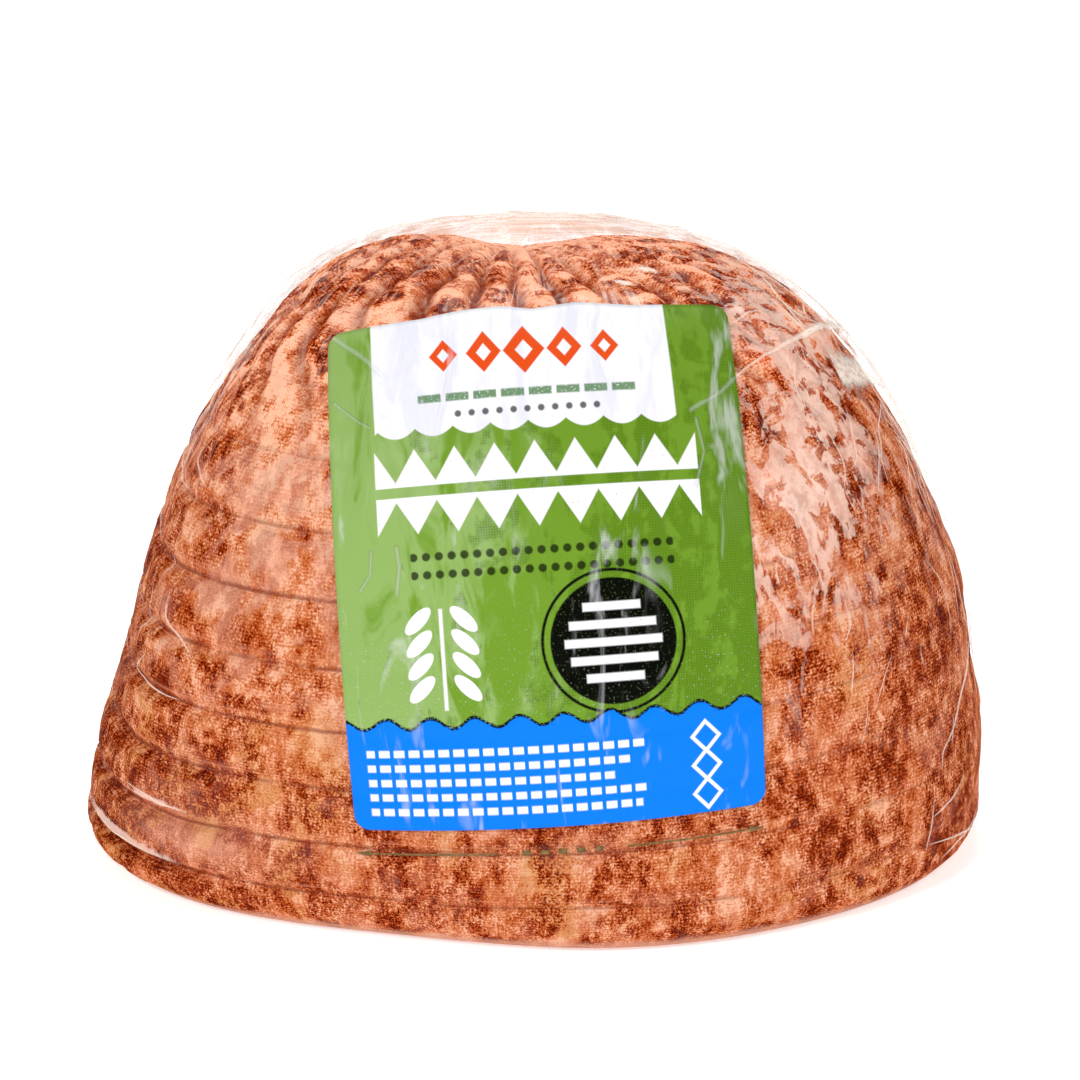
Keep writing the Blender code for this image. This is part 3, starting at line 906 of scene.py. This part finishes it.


# Creases of the film, partly painted glints: closed slivers of film that lie on it, thin at both ends,
# brighter where they stand for highlights
creases = {
    "height": 0.00014,
    "above film": 0.00006,
    "step": 0.0012,
    "least half": 0.06,  # of a crease's width, in mm
    "turn length": 510,  # in mm, low on the ham
    "ring pitch": 14,
    "search": (0.01, 0.03),  # metres above the skin that the film is looked for from, and how far
    "runs": (  # turn, ring and half width in mm at points along each
        (
            (-0.142, 8.50, 0.3), (-0.127, 8.65, 0.4), (-0.105, 8.72, 0.5), (-0.080, 8.75, 0.8),
            (-0.062, 8.75, 1.1), (-0.035, 8.62, 1.5), (0.005, 8.25, 1.6), (0.018, 8.05, 0.6),
        ),
        (
            (-0.058, 8.14, 8.0), (-0.048, 7.98, 6.6), (-0.037, 7.82, 4.4), (-0.020, 7.53, 1.9),
            (0.000, 7.20, 0.2),
        ),
        ((0.018, 8.05, 0.3), (-0.008, 8.05, 0.9), (-0.024, 8.00, 1.0), (-0.040, 7.95, 0.5)),
        (
            (-0.050, 7.00, 0.1), (-0.044, 6.72, 0.5), (-0.037, 6.35, 0.7), (-0.040, 5.98, 0.6),
            (-0.048, 5.22, 0.1),
        ),
        ((-0.047, 6.80, 0.1), (-0.049, 6.40, 0.4), (-0.052, 6.00, 0.4), (-0.052, 5.50, 0.1)),
        ((-0.037, 7.40, 0.1), (-0.041, 7.20, 0.5), (-0.044, 7.00, 0.1)),
        ((-0.045, 5.03, 0.1), (-0.050, 4.55, 0.4), (-0.050, 4.00, 0.4), (-0.041, 3.32, 0.1)),
        ((-0.047, 6.93, 0.2), (-0.049, 6.58, 0.5), (-0.061, 6.25, 0.3), (-0.070, 5.95, 0.1)),
        ((-0.042, 7.35, 0.1), (-0.061, 7.15, 0.3), (-0.071, 6.93, 0.3), (-0.083, 6.65, 0.1)),
        ((-0.062, 7.38, 0.1), (-0.072, 7.00, 0.3), (-0.084, 6.65, 0.3), (-0.093, 6.30, 0.1)),
        (
            (0.008, 10.1, 0.2), (-0.007, 9.83, 0.5), (-0.028, 9.45, 0.7), (-0.047, 9.08, 0.7),
            (-0.057, 8.78, 0.2),
        ),
        ((-0.010, 9.00, 0.2), (-0.025, 8.95, 0.5), (-0.035, 8.72, 0.2)),
        ((-0.047, 9.43, 0.2), (-0.052, 9.08, 0.7), (-0.059, 8.80, 0.3)),
        ((-0.086, 8.68, 0.2), (-0.091, 8.45, 0.3), (-0.092, 8.05, 0.3), (-0.095, 7.85, 0.1)),
        ((-0.083, 8.66, 0.2), (-0.081, 8.45, 0.4), (-0.079, 8.15, 0.3), (-0.083, 7.75, 0.1)),
        ((-0.078, 7.60, 0.1), (-0.087, 7.22, 0.4), (-0.092, 6.95, 0.3), (-0.099, 6.85, 0.1)),
        ((-0.098, 7.65, 0.1), (-0.100, 7.30, 0.3), (-0.102, 6.95, 0.4), (-0.109, 6.62, 0.1)),
        ((-0.082, 8.60, 0.1), (-0.097, 8.15, 0.3), (-0.107, 7.75, 0.1)),
        ((-0.103, 9.40, 0.1), (-0.087, 9.42, 0.5), (-0.070, 9.38, 0.2)),
        ((-0.048, 5.08, 0.1), (-0.052, 4.73, 0.3), (-0.057, 4.35, 0.3), (-0.058, 4.05, 0.1)),
        (
            (-0.036, 3.80, 0.1), (-0.047, 3.58, 0.5), (-0.053, 3.25, 0.8), (-0.061, 2.90, 0.6),
            (-0.067, 2.58, 0.5), (-0.073, 2.33, 0.3), (-0.073, 2.10, 0.1),
        ),
        ((-0.034, 4.98, 0.1), (-0.033, 4.65, 0.4), (-0.043, 4.30, 0.1)),
        ((-0.059, 1.78, 0.1), (-0.065, 1.58, 0.4), (-0.072, 1.48, 0.4), (-0.079, 1.40, 0.1)),
        ((-0.033, 0.84, 0.1), (-0.044, 0.72, 0.4), (-0.060, 0.70, 0.4), (-0.072, 0.62, 0.1)),
        ((-0.034, 0.52, 0.1), (-0.054, 0.75, 0.4), (-0.068, 0.88, 0.3), (-0.080, 0.98, 0.1)),
        ((-0.078, 1.68, 0.1), (-0.079, 1.28, 0.4), (-0.081, 0.90, 0.2)),
        ((-0.118, 5.00, 0.1), (-0.118, 4.80, 0.4), (-0.120, 4.62, 0.1)),
        ((-0.131, 5.30, 0.1), (-0.132, 5.03, 0.4), (-0.132, 4.82, 0.1)),
        ((-0.433, 6.12, 0.1), (-0.430, 6.00, 0.3), (-0.432, 5.78, 0.1)),
        (
            (-0.440, 5.78, 0.1), (-0.437, 5.52, 0.2), (-0.434, 5.25, 0.3), (-0.438, 4.85, 0.3),
            (-0.438, 4.50, 0.1),
        ),
        (
            (-0.422, 5.62, 0.1), (-0.421, 5.38, 0.4), (-0.417, 5.15, 0.5), (-0.409, 4.98, 0.4),
            (-0.402, 4.85, 0.1),
        ),
        ((-0.430, 2.30, 0.1), (-0.417, 2.27, 0.4), (-0.408, 2.22, 0.4), (-0.395, 2.20, 0.1)),
        (
            (-0.471, 1.02, 0.2), (-0.456, 1.12, 0.4), (-0.442, 1.20, 0.4), (-0.428, 1.24, 0.4),
            (-0.403, 1.16, 0.1),
        ),
        (
            (-0.428, 4.48, 0.1), (-0.434, 4.18, 0.4), (-0.427, 4.03, 0.5), (-0.416, 4.00, 0.4),
            (-0.404, 4.03, 0.1),
        ),
        ((-0.482, 7.30, 0.1), (-0.478, 7.10, 0.4), (-0.455, 7.10, 0.3), (-0.440, 7.08, 0.1)),
        ((-0.442, 7.78, 0.1), (-0.442, 7.52, 0.4), (-0.434, 7.38, 0.4), (-0.422, 7.25, 0.1)),
    ),
    "spread": (  # how many, turns and rings they start in, lengths in mm, slants in radians, half widths
        (14, (-0.16, -0.03), (3.0, 8.4), (4, 10), (1.25, 1.95), (0.15, 0.35)),
        (6, (-0.07, 0.03), (0.8, 5.0), (6, 16), (1.35, 2.2), (0.15, 0.35)),
        (22, (0.05, 0.46), (0.8, 7.0), (5, 16), (1.2, 1.95), (0.2, 0.6)),
    ),
    "bow": 0.25,
    "shape": ((0, 0.1), (0.3, 1.0), (0.65, 0.8), (1, 0.1)),  # shares of the length and of the half width
    "seed": 7,
}


def spreadRuns():
    draw = np.random.default_rng(creases["seed"])
    runs = []
    for count, turns, rings, lengths, slants, halves in creases["spread"]:
        for _ in range(count):
            turn, ring = draw.uniform(*turns), draw.uniform(*rings)
            length, slant, half = draw.uniform(*lengths), draw.uniform(*slants), draw.uniform(*halves)
            bow = draw.uniform(-creases["bow"], creases["bow"])
            around = creases["turn length"] * max(0.35, 1 - (ring / form["rings"]) ** 2)
            points = []
            for share, wide in creases["shape"]:
                angle, far = slant + bow * share, length * share
                points.append((
                    turn + far * math.cos(angle) / around,
                    ring + far * math.sin(angle) / creases["ring pitch"],
                    max(creases["least half"], half * wide),
                ))
            runs.append(tuple(points))
    return runs


def smoothRun(run):  # points along a curve through the run's own
    run = np.array(run)
    padded = np.concatenate([2 * run[:1] - run[1:2], run, 2 * run[-1:] - run[-2:-1]])
    metres = np.array([creases["turn length"], creases["ring pitch"]]) / 1000
    points = []
    for a, b, c, d in zip(padded, padded[1:], padded[2:], padded[3:]):
        length = math.hypot(*((c - b)[:2] * metres))
        for share in np.arange(0, 1, creases["step"] / max(length, creases["step"])):
            bent = (2 * a - 5 * b + 4 * c - d) * share**2 + (3 * b - a - 3 * c + d) * share**3
            points.append((2 * b + (c - a) * share + bent) / 2)
    return np.array([*points, run[-1]])


def creaseAndGlintMaterial():
    material, g = newMaterial("creased film and painted glints")
    across, along, _ = g.split(g.add("ShaderNodeUVMap", {"uv_map": "flat"}))
    broad = g.attribute("broad")
    facing = g.add("ShaderNodeLayerWeight", {}, {"Blend": 0.5}, "Facing")
    fibres = g.noise(g.join(across * 2.2, along * 0.35, 0.0), 1.6, 3.0, 0.6)
    worn = fibres.smooth(0.32, 0.60)
    # painted highlights: broad slivers and worn fibres whiter and more opaque, and more so at grazing angles
    solid = (0.04 + 0.28 * facing) + (0.34 + 0.14 * broad) * worn
    inside = (abs(across) + 1.4 * (fibres - 0.5)).smooth(1.0, 0.2 + 0.3 * broad)
    colour = g.blend(worn.most(broad), clear["milk"], clear["crease and glint white"])
    sockets = {"Base Color": colour, "Roughness": 0.25, "Specular IOR Level": 0.6}
    finish(g, {**sockets, "Alpha": solid * inside})
    return material


def onFilm(film, run, shift):  # a run's points on the film, the film's normals there, and its half widths
    turn, ring, half = smoothRun(run).T
    ring = np.clip(ring, 0.2, form["rings"] - 0.3)
    start, out = netPoint(turn, ring) + shift, skinNormal(turn, ring)
    above, far = creases["search"]
    hits = [film.ray_cast(Vector(p + n * above), Vector(-n), far) for p, n in zip(start, out)]
    if any(hit[0] is None for hit in hits):
        return None
    middle, normal = np.array([hit[0] for hit in hits]), np.array([hit[1] for hit in hits])
    return middle, unit(normal + out), half


def storeFlat(mesh, flat):  # each point's place on the flat pattern, as a UV map
    corners = np.zeros(len(mesh.loops), np.int32)
    mesh.loops.foreach_get("vertex_index", corners)
    mesh.uv_layers.new(name="flat").data.foreach_set("uv", flat[corners].astype(np.float32).ravel())


def makeCreasesAndGlints(filmPiece, shift):
    skinned = filmPiece.data
    film = BVHTree.FromPolygons([v.co for v in skinned.vertices], [p.vertices for p in skinned.polygons])
    points, faces, flats, broads = [], [], [], []
    for run in [*creases["runs"], *spreadRuns()]:
        laid = onFilm(film, run, shift)
        if laid is None:
            continue
        middle, normal, half = laid
        side = unit(np.cross(normal, np.gradient(middle, axis=0)))
        wide = np.maximum(half, creases["least half"])[:, None] / 1000
        high = creases["height"] * np.clip(wide * 2000, 0.35, 1)
        steps = np.linalg.norm(np.diff(middle, axis=0), axis=1)
        length = np.concatenate([[0], np.cumsum(steps)]) * 1000
        first, last = len(points), len(points) + 4 * (len(middle) - 1)
        lifted = middle + normal * creases["above film"]
        edges = lifted - side * wide, middle, lifted + side * wide, lifted + normal * high
        points += np.stack(edges, axis=1).reshape(-1, 3).tolist()
        for far, broad in zip(length, smoothStep(half, 0.35, 1.2)):
            flats += [(across, far) for across in (-1, 0, 1, 0)]
            broads += [broad] * 4
        for a in range(first, last, 4):
            faces += [[a + j, a + (j + 1) % 4, a + 4 + (j + 1) % 4, a + 4 + j] for j in range(4)]
        faces += [[first + 3, first + 2, first + 1, first], [last, last + 1, last + 2, last + 3]]
    mesh = bpy.data.meshes.new("film_creases_and_glints")
    mesh.from_pydata(np.clip(np.array(points), *np.array(cadBox)).tolist(), [], faces)
    storeFlat(mesh, np.array(flats))
    mesh.attributes.new("broad", "FLOAT", "POINT").data.foreach_set("value", np.array(broads, np.float32))
    mesh.materials.append(creaseAndGlintMaterial())
    mesh.shade_smooth()
    shape = bmesh.new()
    shape.from_mesh(mesh)
    bmesh.ops.recalc_face_normals(shape, faces=shape.faces)
    shape.to_mesh(mesh)
    shape.free()
    return linked("film_creases_and_glints", mesh)


# The printed label, in metres as it would lie flat
label = {
    "width": 0.0946,
    "height": 0.1172,
    "corner": 0.0034,
    "topShare": 0.98,
    "barrel": (0.018, 0.034),
    "topWave": (  # mm from the middle, and how far the film's pleats push the top edge up
        (-47, -1.0), (-39, -0.7), (-25, -0.4), (-16.7, 0.6), (-6.5, 1.0),
        (1.2, -0.2), (11.3, 0.9), (25, -0.2), (47, 0.1),
    ),
    "lean": math.radians(21.7),
    "roll": math.radians(3.8),
    "centre": (0.0002, -0.0020, 0.0637),
    "standOff": 0.16,
    "cell": 0.001,
    "thickness": 0.0002,
}
inks = {
    "green": paint(112, 152, 42),
    "highlight green": paint(152, 183, 108),
    "deep green": paint(84, 122, 14),
    "white": paint(247, 246, 250),
    "lilac": paint(232, 232, 243),
    "blue": paint(0, 124, 246),
    "orange": paint(232, 80, 24),
    "black": paint(6, 8, 3),
    "leaf": paint(60, 120, 40),
}


# The print, in mm from the label's middle. A box is its left, right, low and high.
design = {
    "panel": {"box": (-36.0, 33.2, 31.0, 80.0), "lean": 0.02},
    "scallops": {"pitch": 8.65, "start": 2.9, "half": 4.33, "depth": 2.0},
    "lozenges": {"middle": (-1.4, 49.0), "pitch": 9.4, "half": 4.9, "shrink": 0.8, "hole": 0.42},
    "stripe": {"box": (-27.0, 24.2, 38.6, 40.4), "pitch": 6.4},
    "small dots": {"box": (-18.8, 16.0, 33.0, 38.0), "pitch": 3.2, "height": 35.6, "radius": 0.75},
    "triangles": {"pitch": 9.175, "start": -0.3, "half": 5.2, "slope": 0.62},
    "upper band": (-37.0, 36.4, 20.0, 28.6),
    "lower band": (-37.0, 36.4, 9.0, 17.6),
    "dots": {"box": (-30.0, 29.4, -3.0, 7.0), "pitch": 2.9, "start": -0.3, "radius": 0.95},
    "dot lines": (3.9, -0.2),
    "badge": {"middle": (14.5, -17.5), "radius": 14.2, "ring": (15.6, 16.3)},
    "badge stripes": {"halves": (6.5, 9.8, 11.0, 9.8, 6.5), "top": 6.9, "pitch": 4.0, "tall": 1.9},
    "stem": (-24.4, -23.6, -31.0, -8.0),
    "leaves": {"middle": (-24.0, -10.5), "aside": 5.2, "pitch": 5.2, "long": 5.6, "wide": 2.3, "rows": 4},
    "foot": {"height": -34.0, "wave": 1.2, "wave rate": 0.62, "wander": 1.0},
    "dashes": {"left": -43.1, "top": -41.6, "row": 3.4, "pitch": 3.4, "tall": 1.6},
    "dashes end": (20.5, 16.9, 12.9, 20.7, 19.0),
    "small lozenges": {"middle": (34.0, -47.5), "pitch": 6.6, "half": 3.6, "hole": 2.5},
    "creases": (  # points along each, and its half width
        (((-46.5, 58.0), (-40.0, 51.9), (-34.6, 46.2)), 0.9),
        (((-46.0, 41.0), (-40.6, 36.1), (-38.0, 34.5)), 0.5),
        (((36.0, 33.5), (40.3, 35.9), (43.5, 37.7), (47.7, 41.4)), 0.8),
        (((-42.0, -3.0), (-39.4, 0.5), (-38.8, 6.0)), 0.5),
        (((-33.6, -4.0), (-32.6, 2.0), (-33.0, 6.5)), 0.7),
        (((35.6, 16.0), (38.2, 24.0), (37.0, 31.5)), 0.6),
    ),
}


def bar(x, y, box, soft=0.25):  # 1 inside an upright box
    left, right, low, high = box
    inside = (x - left).least(right - x).least((y - low).least(high - y))
    return inside.smooth(-soft, soft)


def disc(x, y, centre, radius, soft=0.2):
    away = ((x - centre[0]) ** 2.0 + (y - centre[1]) ** 2.0) ** 0.5
    return away.smooth(radius + soft, radius - soft)


def lozenge(x, y, centre, half, tall=1.1, soft=0.2):
    return (half - abs(x - centre[0]) - abs(y - centre[1]) / tall).smooth(-soft, soft)


def openLozenge(x, y, centre, half, hole):
    return lozenge(x, y, centre, half) * (1 - lozenge(x, y, centre, hole))


def inRow(x, pitch, start=0.0):  # distance across from the middle of the nearest of a row of motifs
    return fromWhole((x - start) / pitch) * pitch


def nearStretch(x, y, a, b, half):  # 1 on a straight stretch from a to b, 0 at half away from it
    across, along = b[0] - a[0], b[1] - a[1]
    share = (((x - a[0]) * across + (y - a[1]) * along) / (across**2 + along**2)).clamped()
    away = ((x - a[0] - share * across) ** 2.0 + (y - a[1] - share * along) ** 2.0) ** 0.5
    return away.smooth(half, 0.0)


def greenGround(g, x, y, folds, middle, fine):  # paler to the left in streaks along the film's folds, a painted highlight, with a fine screen where it is deep
    foldHighlight = (folds - 0.005 * x).smooth(0.50, 0.66)
    deep = (folds + 0.6 * (middle - 0.5) + 0.004 * x).smooth(0.50, 0.62)
    screen = ((x + y) * 5.2).sine() * ((x - y) * 5.2).sine()
    return g.coats(
        inks["green"],
        # painted highlight along the film's folds on the left
        (0.75 * foldHighlight, inks["highlight green"]),
        (0.8 * deep * (0.55 + 0.45 * screen.smooth(-0.3, 0.3)), inks["deep green"]),
        (0.4 * fine.smooth(0.63, 0.70) * y.smooth(10.0, -30.0), inks["lilac"]),
    )


def whitePanel(g, x, y, folds, fine):  # its mask and its print: lozenges, a broken stripe and a dotted line
    panel, scallops, row = design["panel"], design["scallops"], design["lozenges"]
    scallop = scallops["depth"] * (inRow(x, scallops["pitch"], scallops["start"]) / scallops["half"]) ** 2.0
    mask = bar(x + panel["lean"] * y, y - scallop, panel["box"], 0.2)
    middle, height = row["middle"]
    marks = []
    for i in (-2, -1, 0, 1, 2):
        half = row["half"] - row["shrink"] * abs(i)
        marks.append(openLozenge(x, y, (row["pitch"] * i + middle, height), half, row["hole"] * half))
    stripe, dots = design["stripe"], design["small dots"]
    broken = bar(x, y, stripe["box"]) * inRow(x, stripe["pitch"], middle).smooth(0.4, 0.7)
    dotted = disc(inRow(x, dots["pitch"], middle), y, (0.0, dots["height"]), dots["radius"])
    return mask, g.coats(
        g.blend(folds.smooth(0.42, 0.62), inks["white"], inks["lilac"]),
        (union(*marks), inks["orange"]),
        (0.85 * broken * fine.smooth(0.30, 0.42), inks["leaf"]),
        (0.85 * dotted * bar(x, y, dots["box"]), inks["black"]),
    )


def dottedLines(x, y):
    dots = design["dots"]
    across = inRow(x, dots["pitch"], dots["start"])
    return union(*(disc(across, y, (0.0, height), dots["radius"]) for height in design["dot lines"]))


def whiteMotifs(x, y):  # triangles, the badge's stripes, the sprig, dashes and small lozenges
    row, upper, lower = design["triangles"], design["upper band"], design["lower band"]
    fromTip = row["half"] - inRow(x, row["pitch"], row["start"])
    made = []
    for box, rise in ((upper, y - upper[2]), (lower, lower[3] - y)):
        made.append(bar(x, y, box, 0.15) * (fromTip - rise * row["slope"]).smooth(-0.2, 0.2))
    badge, stripes = design["badge"]["middle"], design["badge stripes"]
    for i, half in enumerate(stripes["halves"]):
        low = badge[1] + stripes["top"] - stripes["pitch"] * i
        made.append(bar(x, y, (badge[0] - half, badge[0] + half, low, low + stripes["tall"])))
    made.append(bar(x, y, design["stem"]))
    leaves = design["leaves"]
    for i in range(leaves["rows"]):
        for side in (-1, 1):
            leafX = x - (leaves["middle"][0] + side * leaves["aside"])
            leafY = y - (leaves["middle"][1] - leaves["pitch"] * i)
            along, across = leafX - side * leafY, leafX * side + leafY
            slanted = (along / leaves["long"]) ** 2.0 + (across / leaves["wide"]) ** 2.0
            made.append(slanted.smooth(1.1, 0.9))
    dashes = design["dashes"]
    for i, right in enumerate(design["dashes end"]):
        low = dashes["top"] - dashes["row"] * i
        box = (dashes["left"], right, low, low + dashes["tall"])
        made.append(bar(x, y, box) * inRow(x, dashes["pitch"]).smooth(0.35, 0.6))
    small = design["small lozenges"]
    for i in (-1, 0, 1):
        centre = (small["middle"][0], small["middle"][1] + small["pitch"] * i)
        made.append(openLozenge(x, y, centre, small["half"], small["hole"]))
    return union(*made)


def labelMaterial():
    material, g = newMaterial("printed label")
    u, v, _ = g.split(g.add("ShaderNodeUVMap", {"uv_map": "flat"}))
    x, y = (u - 0.5) * (label["width"] * 1000), (v - 0.5) * (label["height"] * 1000)
    place = g.join(x, y, 0.0)
    middle = g.noise(place, 0.20, 3.0, 0.6)
    fine = g.noise(place, 1.7, 2.0, 0.7)
    folds = g.noise(g.join(x * 1.6, y * 0.45, 3.0), 0.085, 3.0, 0.6, 0.8)
    badge, foot = design["badge"], design["foot"]
    badgeRing = [disc(x, y, badge["middle"], radius) for radius in badge["ring"]]
    dark = disc(x, y, badge["middle"], badge["radius"]).most(badgeRing[1] * (1 - badgeRing[0]))
    wavy = foot["wave"] * (x * foot["wave rate"]).sine() + foot["wander"] * (middle - 0.5)
    edge = foot["height"] + wavy - y

    # film over the print: pale where it hangs off, and creased
    lifted = (0.17 * (x - 44.0).bell(9.0) * (y - 30.0).bell(20.0) + 0.85 * folds).smooth(0.50, 0.64)
    creased = []
    for run, half in design["creases"]:
        creased += [nearStretch(x, y, a, b, half) for a, b in zip(run, run[1:])]
    lines = union(*creased)
    colour = g.coats(
        greenGround(g, x, y, folds, middle, fine),
        whitePanel(g, x, y, folds, fine),
        (0.85 * dottedLines(x, y) * bar(x, y, design["dots"]["box"]), inks["black"]),
        (dark * (1 - 0.4 * fine.smooth(0.60, 0.68)), inks["black"]),
        (edge.smooth(-0.2, 0.2), inks["blue"]),
        (abs(edge).smooth(0.55, 0.25) * fine.smooth(0.35, 0.5), inks["black"]),
        (whiteMotifs(x, y) * fine.smooth(0.24, 0.36), inks["white"]),
        (0.38 * lifted, inks["white"]),
        (0.20 * lines, inks["white"]),
    )
    height = 1.3 * lines + 1.1 * folds + 0.4 * lifted
    normal = g.add("ShaderNodeBump", {}, {"Strength": 0.5, "Distance": 0.001, "Height": height})
    sockets = {"Base Color": colour, "Roughness": 0.28 + 0.12 * middle, "Normal": normal}
    finish(g, {**sockets, "Specular IOR Level": 0.08})
    return material


def warpFlat(points):  # a flat print's bowed outline: points in metres from the label's middle
    across, along = 2 * points[:, 0] / label["width"], 2 * points[:, 1] / label["height"]
    taper = 1 - (1 - label["topShare"]) * (along + 1) / 2
    x = points[:, 0] * taper * (1 - label["barrel"][0] * along**2)
    y = points[:, 1] * (1 - label["barrel"][1] * across**2)
    places, pushes = np.array(label["topWave"]).T
    y = y + np.interp(points[:, 0] * 1000, places, pushes) * smoothStep(along, 0.8, 1.0) / 1000
    return np.stack([x, y, np.zeros(len(x))], axis=1)


def flatMesh(name, shape):  # a drawn shape as a mesh, and its points
    mesh = bpy.data.meshes.new(name)
    shape.to_mesh(mesh)
    shape.free()
    return mesh, np.array([v.co for v in mesh.vertices])


def layOnFilm(mesh, points, material, filmPiece, shift, thickness):
    mesh.vertices.foreach_set("co", warpFlat(points).astype(np.float32).ravel())
    mesh.materials.append(material)
    mesh.shade_smooth()
    piece = linked(mesh.name, mesh)
    turned = Matrix.Rotation(math.pi / 2 - label["lean"], 4, "X") @ Matrix.Rotation(label["roll"], 4, "Z")
    outward = turned @ Vector((0, 0, 1))
    centre = Vector(label["centre"]) + Vector(shift)
    piece.matrix_world = Matrix.Translation(centre + outward * label["standOff"]) @ turned
    lay = piece.modifiers.new("lay on film", "SHRINKWRAP")
    lay.target = filmPiece
    lay.wrap_method = "PROJECT"
    lay.use_project_z = True
    lay.use_negative_direction = True
    lay.use_positive_direction = False
    body = piece.modifiers.new("thickness", "SOLIDIFY")
    body.thickness = thickness
    body.offset = 1
    return settle(piece)


def makeLabel(filmPiece, shift):
    shape = bmesh.new()
    size = np.array([label["width"], label["height"]])
    across, along = (round(side / label["cell"]) for side in size)
    bmesh.ops.create_grid(shape, x_segments=across, y_segments=along, size=0.5)
    mesh, points = flatMesh("printed_label", shape)
    points = points[:, :2] * size
    corner = label["corner"]
    beyond = np.maximum(np.abs(points) - (size / 2 - corner), 0)
    far = np.maximum(np.linalg.norm(beyond, axis=1), 1e-9)
    pull = beyond * np.minimum(corner / far, 1)[:, None]
    points = np.sign(points) * (np.minimum(np.abs(points), size / 2 - corner) + pull)
    storeFlat(mesh, points / size + 0.5)
    return layOnFilm(mesh, points, labelMaterial(), filmPiece, shift, label["thickness"])


# The thin line with arrowheads that is printed under the label, in mm from the label's middle
arrow = {
    "height": -64.3,
    "runs": ((-47.6, -15.0), (15.0, 46.6)),
    "width": 0.42,
    "head": (3.2, 1.5),
    "steps": 26,
    "dashes": 5,
    "dashPitch": 4.2,
    "dashSize": (2.0, 1.1),
    "thickness": 0.00012,
    "ink": paint(104, 78, 22),
    "worn ink": paint(150, 112, 50),
}


def lineMaterial():
    material, g = newMaterial("line ink")
    worn = g.noise(objectMillimetres(g), 0.8, 3.0, 0.7).smooth(0.3, 0.6)
    colour = g.blend(worn, arrow["worn ink"], arrow["ink"])
    finish(g, {"Base Color": colour, "Roughness": 0.35 + 0.1 * worn})
    return material


def makeArrow(filmPiece, shift):
    shape = bmesh.new()

    def strip(left, right, low, high, parts):
        middle = Matrix.Translation(((left + right) / 2, (low + high) / 2, 0))
        made = bmesh.ops.create_grid(shape, x_segments=parts, y_segments=1, size=0.5)
        size = Matrix.Diagonal((right - left, high - low, 1, 1))
        bmesh.ops.transform(shape, matrix=middle @ size, verts=made["verts"])

    y, half = arrow["height"], arrow["width"] / 2
    for left, right in arrow["runs"]:
        strip(left, right, y - half, y + half, arrow["steps"])
    length, spread = arrow["head"]
    for tip, side in ((arrow["runs"][0][0], 1), (arrow["runs"][1][1], -1)):
        base, rise = tip + side * length, side * spread / 2
        corners = ((tip, y), (base, y - rise), (base, y + rise))
        shape.faces.new([shape.verts.new((a, b, 0)) for a, b in corners])
    for i in range(arrow["dashes"]):
        middle = (i - (arrow["dashes"] - 1) / 2) * arrow["dashPitch"]
        long, tall = arrow["dashSize"]
        strip(middle - long / 2, middle + long / 2, y - tall / 2, y + tall / 2, 2)
    mesh, points = flatMesh("printed_line", shape)
    return layOnFilm(mesh, points[:, :2] / 1000, lineMaterial(), filmPiece, shift, arrow["thickness"])


# Stage, light and camera
studio = {
    "aim": (0.00133, 0.00044, 0.06919),
    "elevation": 21.7,
    "distance": 1.181,
    "lens": 165.83,
    "sensor": 36.0,
    "floor": 4.0,
    "gap": 0.0004,  # between the floor and the ham
    "lights": (  # place, size, watts
        ((-0.75, -1.15, 1.15), 0.35, 11.0),
        ((1.25, -0.75, 0.95), 0.30, 5.0),
        ((0.1, 0.9, 1.3), 0.5, 6.0),
    ),
    "sky": 0.52,
    "sky in gloss": 0.12,
}


def makeStudio():
    scene = bpy.context.scene
    bpy.ops.mesh.primitive_plane_add(size=2 * studio["floor"], location=(0, 0, -studio["gap"]))
    floor = bpy.context.object
    floor.name = "studio_floor"
    material, g = newMaterial("pale floor")
    sockets = {"Base Color": (0.93, 0.93, 0.93, 1.0), "Roughness": 0.9}
    finish(g, {**sockets, "Emission Color": (1.0, 1.0, 1.0, 1.0), "Emission Strength": 0.5})
    floor.data.materials.append(material)
    for i, (place, size, watts) in enumerate(studio["lights"]):
        light = bpy.data.lights.new(f"soft light {i}", "AREA")
        light.shape = "DISK"
        light.size = size
        light.energy = watts
        lamp = linked(f"soft light {i}", light)
        lamp.location = place
        lamp.rotation_euler = (Vector(studio["aim"]) - Vector(place)).to_track_quat("-Z", "Y").to_euler()
    world = bpy.data.worlds.new("light tent")
    world.use_nodes = True
    g = Graph(world.node_tree)
    inGloss = g.add("ShaderNodeLightPath", {}, {}, "Is Glossy Ray")
    strength = studio["sky"] + (studio["sky in gloss"] - studio["sky"]) * inGloss
    background = world.node_tree.nodes["Background"]
    background.inputs["Color"].default_value = (1.0, 1.0, 1.0, 1.0)
    world.node_tree.links.new(strength.socket, background.inputs["Strength"])
    scene.world = world
    camera = linked("camera", bpy.data.cameras.new("camera"))
    camera.data.lens = studio["lens"]
    camera.data.sensor_width = studio["sensor"]
    raised = math.radians(studio["elevation"])
    back = Vector((0, -math.cos(raised), math.sin(raised)))
    camera.location = Vector(studio["aim"]) + back * studio["distance"]
    camera.rotation_euler = (math.pi / 2 - raised, 0, 0)
    scene.camera = camera
    scene.view_settings.view_transform = "Standard"
    scene.view_settings.look = "None"


makeStudio()
print("studio ready")

netted, shift = makeSkin()
ham = grow("smoked_ham", netted, meatTree(meatMaterial(), cutMaterial()), meat)
print("meat made:", len(ham.data.polygons), "faces")
wrap = grow("clear_film", netted, filmTree(filmMaterial()), {**meat, **film})
foldsAndGlints = makeCreasesAndGlints(wrap, shift)
for piece in (wrap, foldsAndGlints):
    piece.visible_shadow = False  # clear film hardly shades what it covers
print("film made:", len(foldsAndGlints.data.polygons), "faces in its creases")
printed = makeLabel(wrap, shift)
line = makeArrow(wrap, shift)
print("label and line laid on the film")

for piece, node in (
    (ham, "sealed_ham"),
    (wrap, "sealed_ham"),
    (foldsAndGlints, "sealed_ham"),
    (printed, "label"),
    (line, "label"),
):
    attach(piece, "root")
    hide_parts(node)
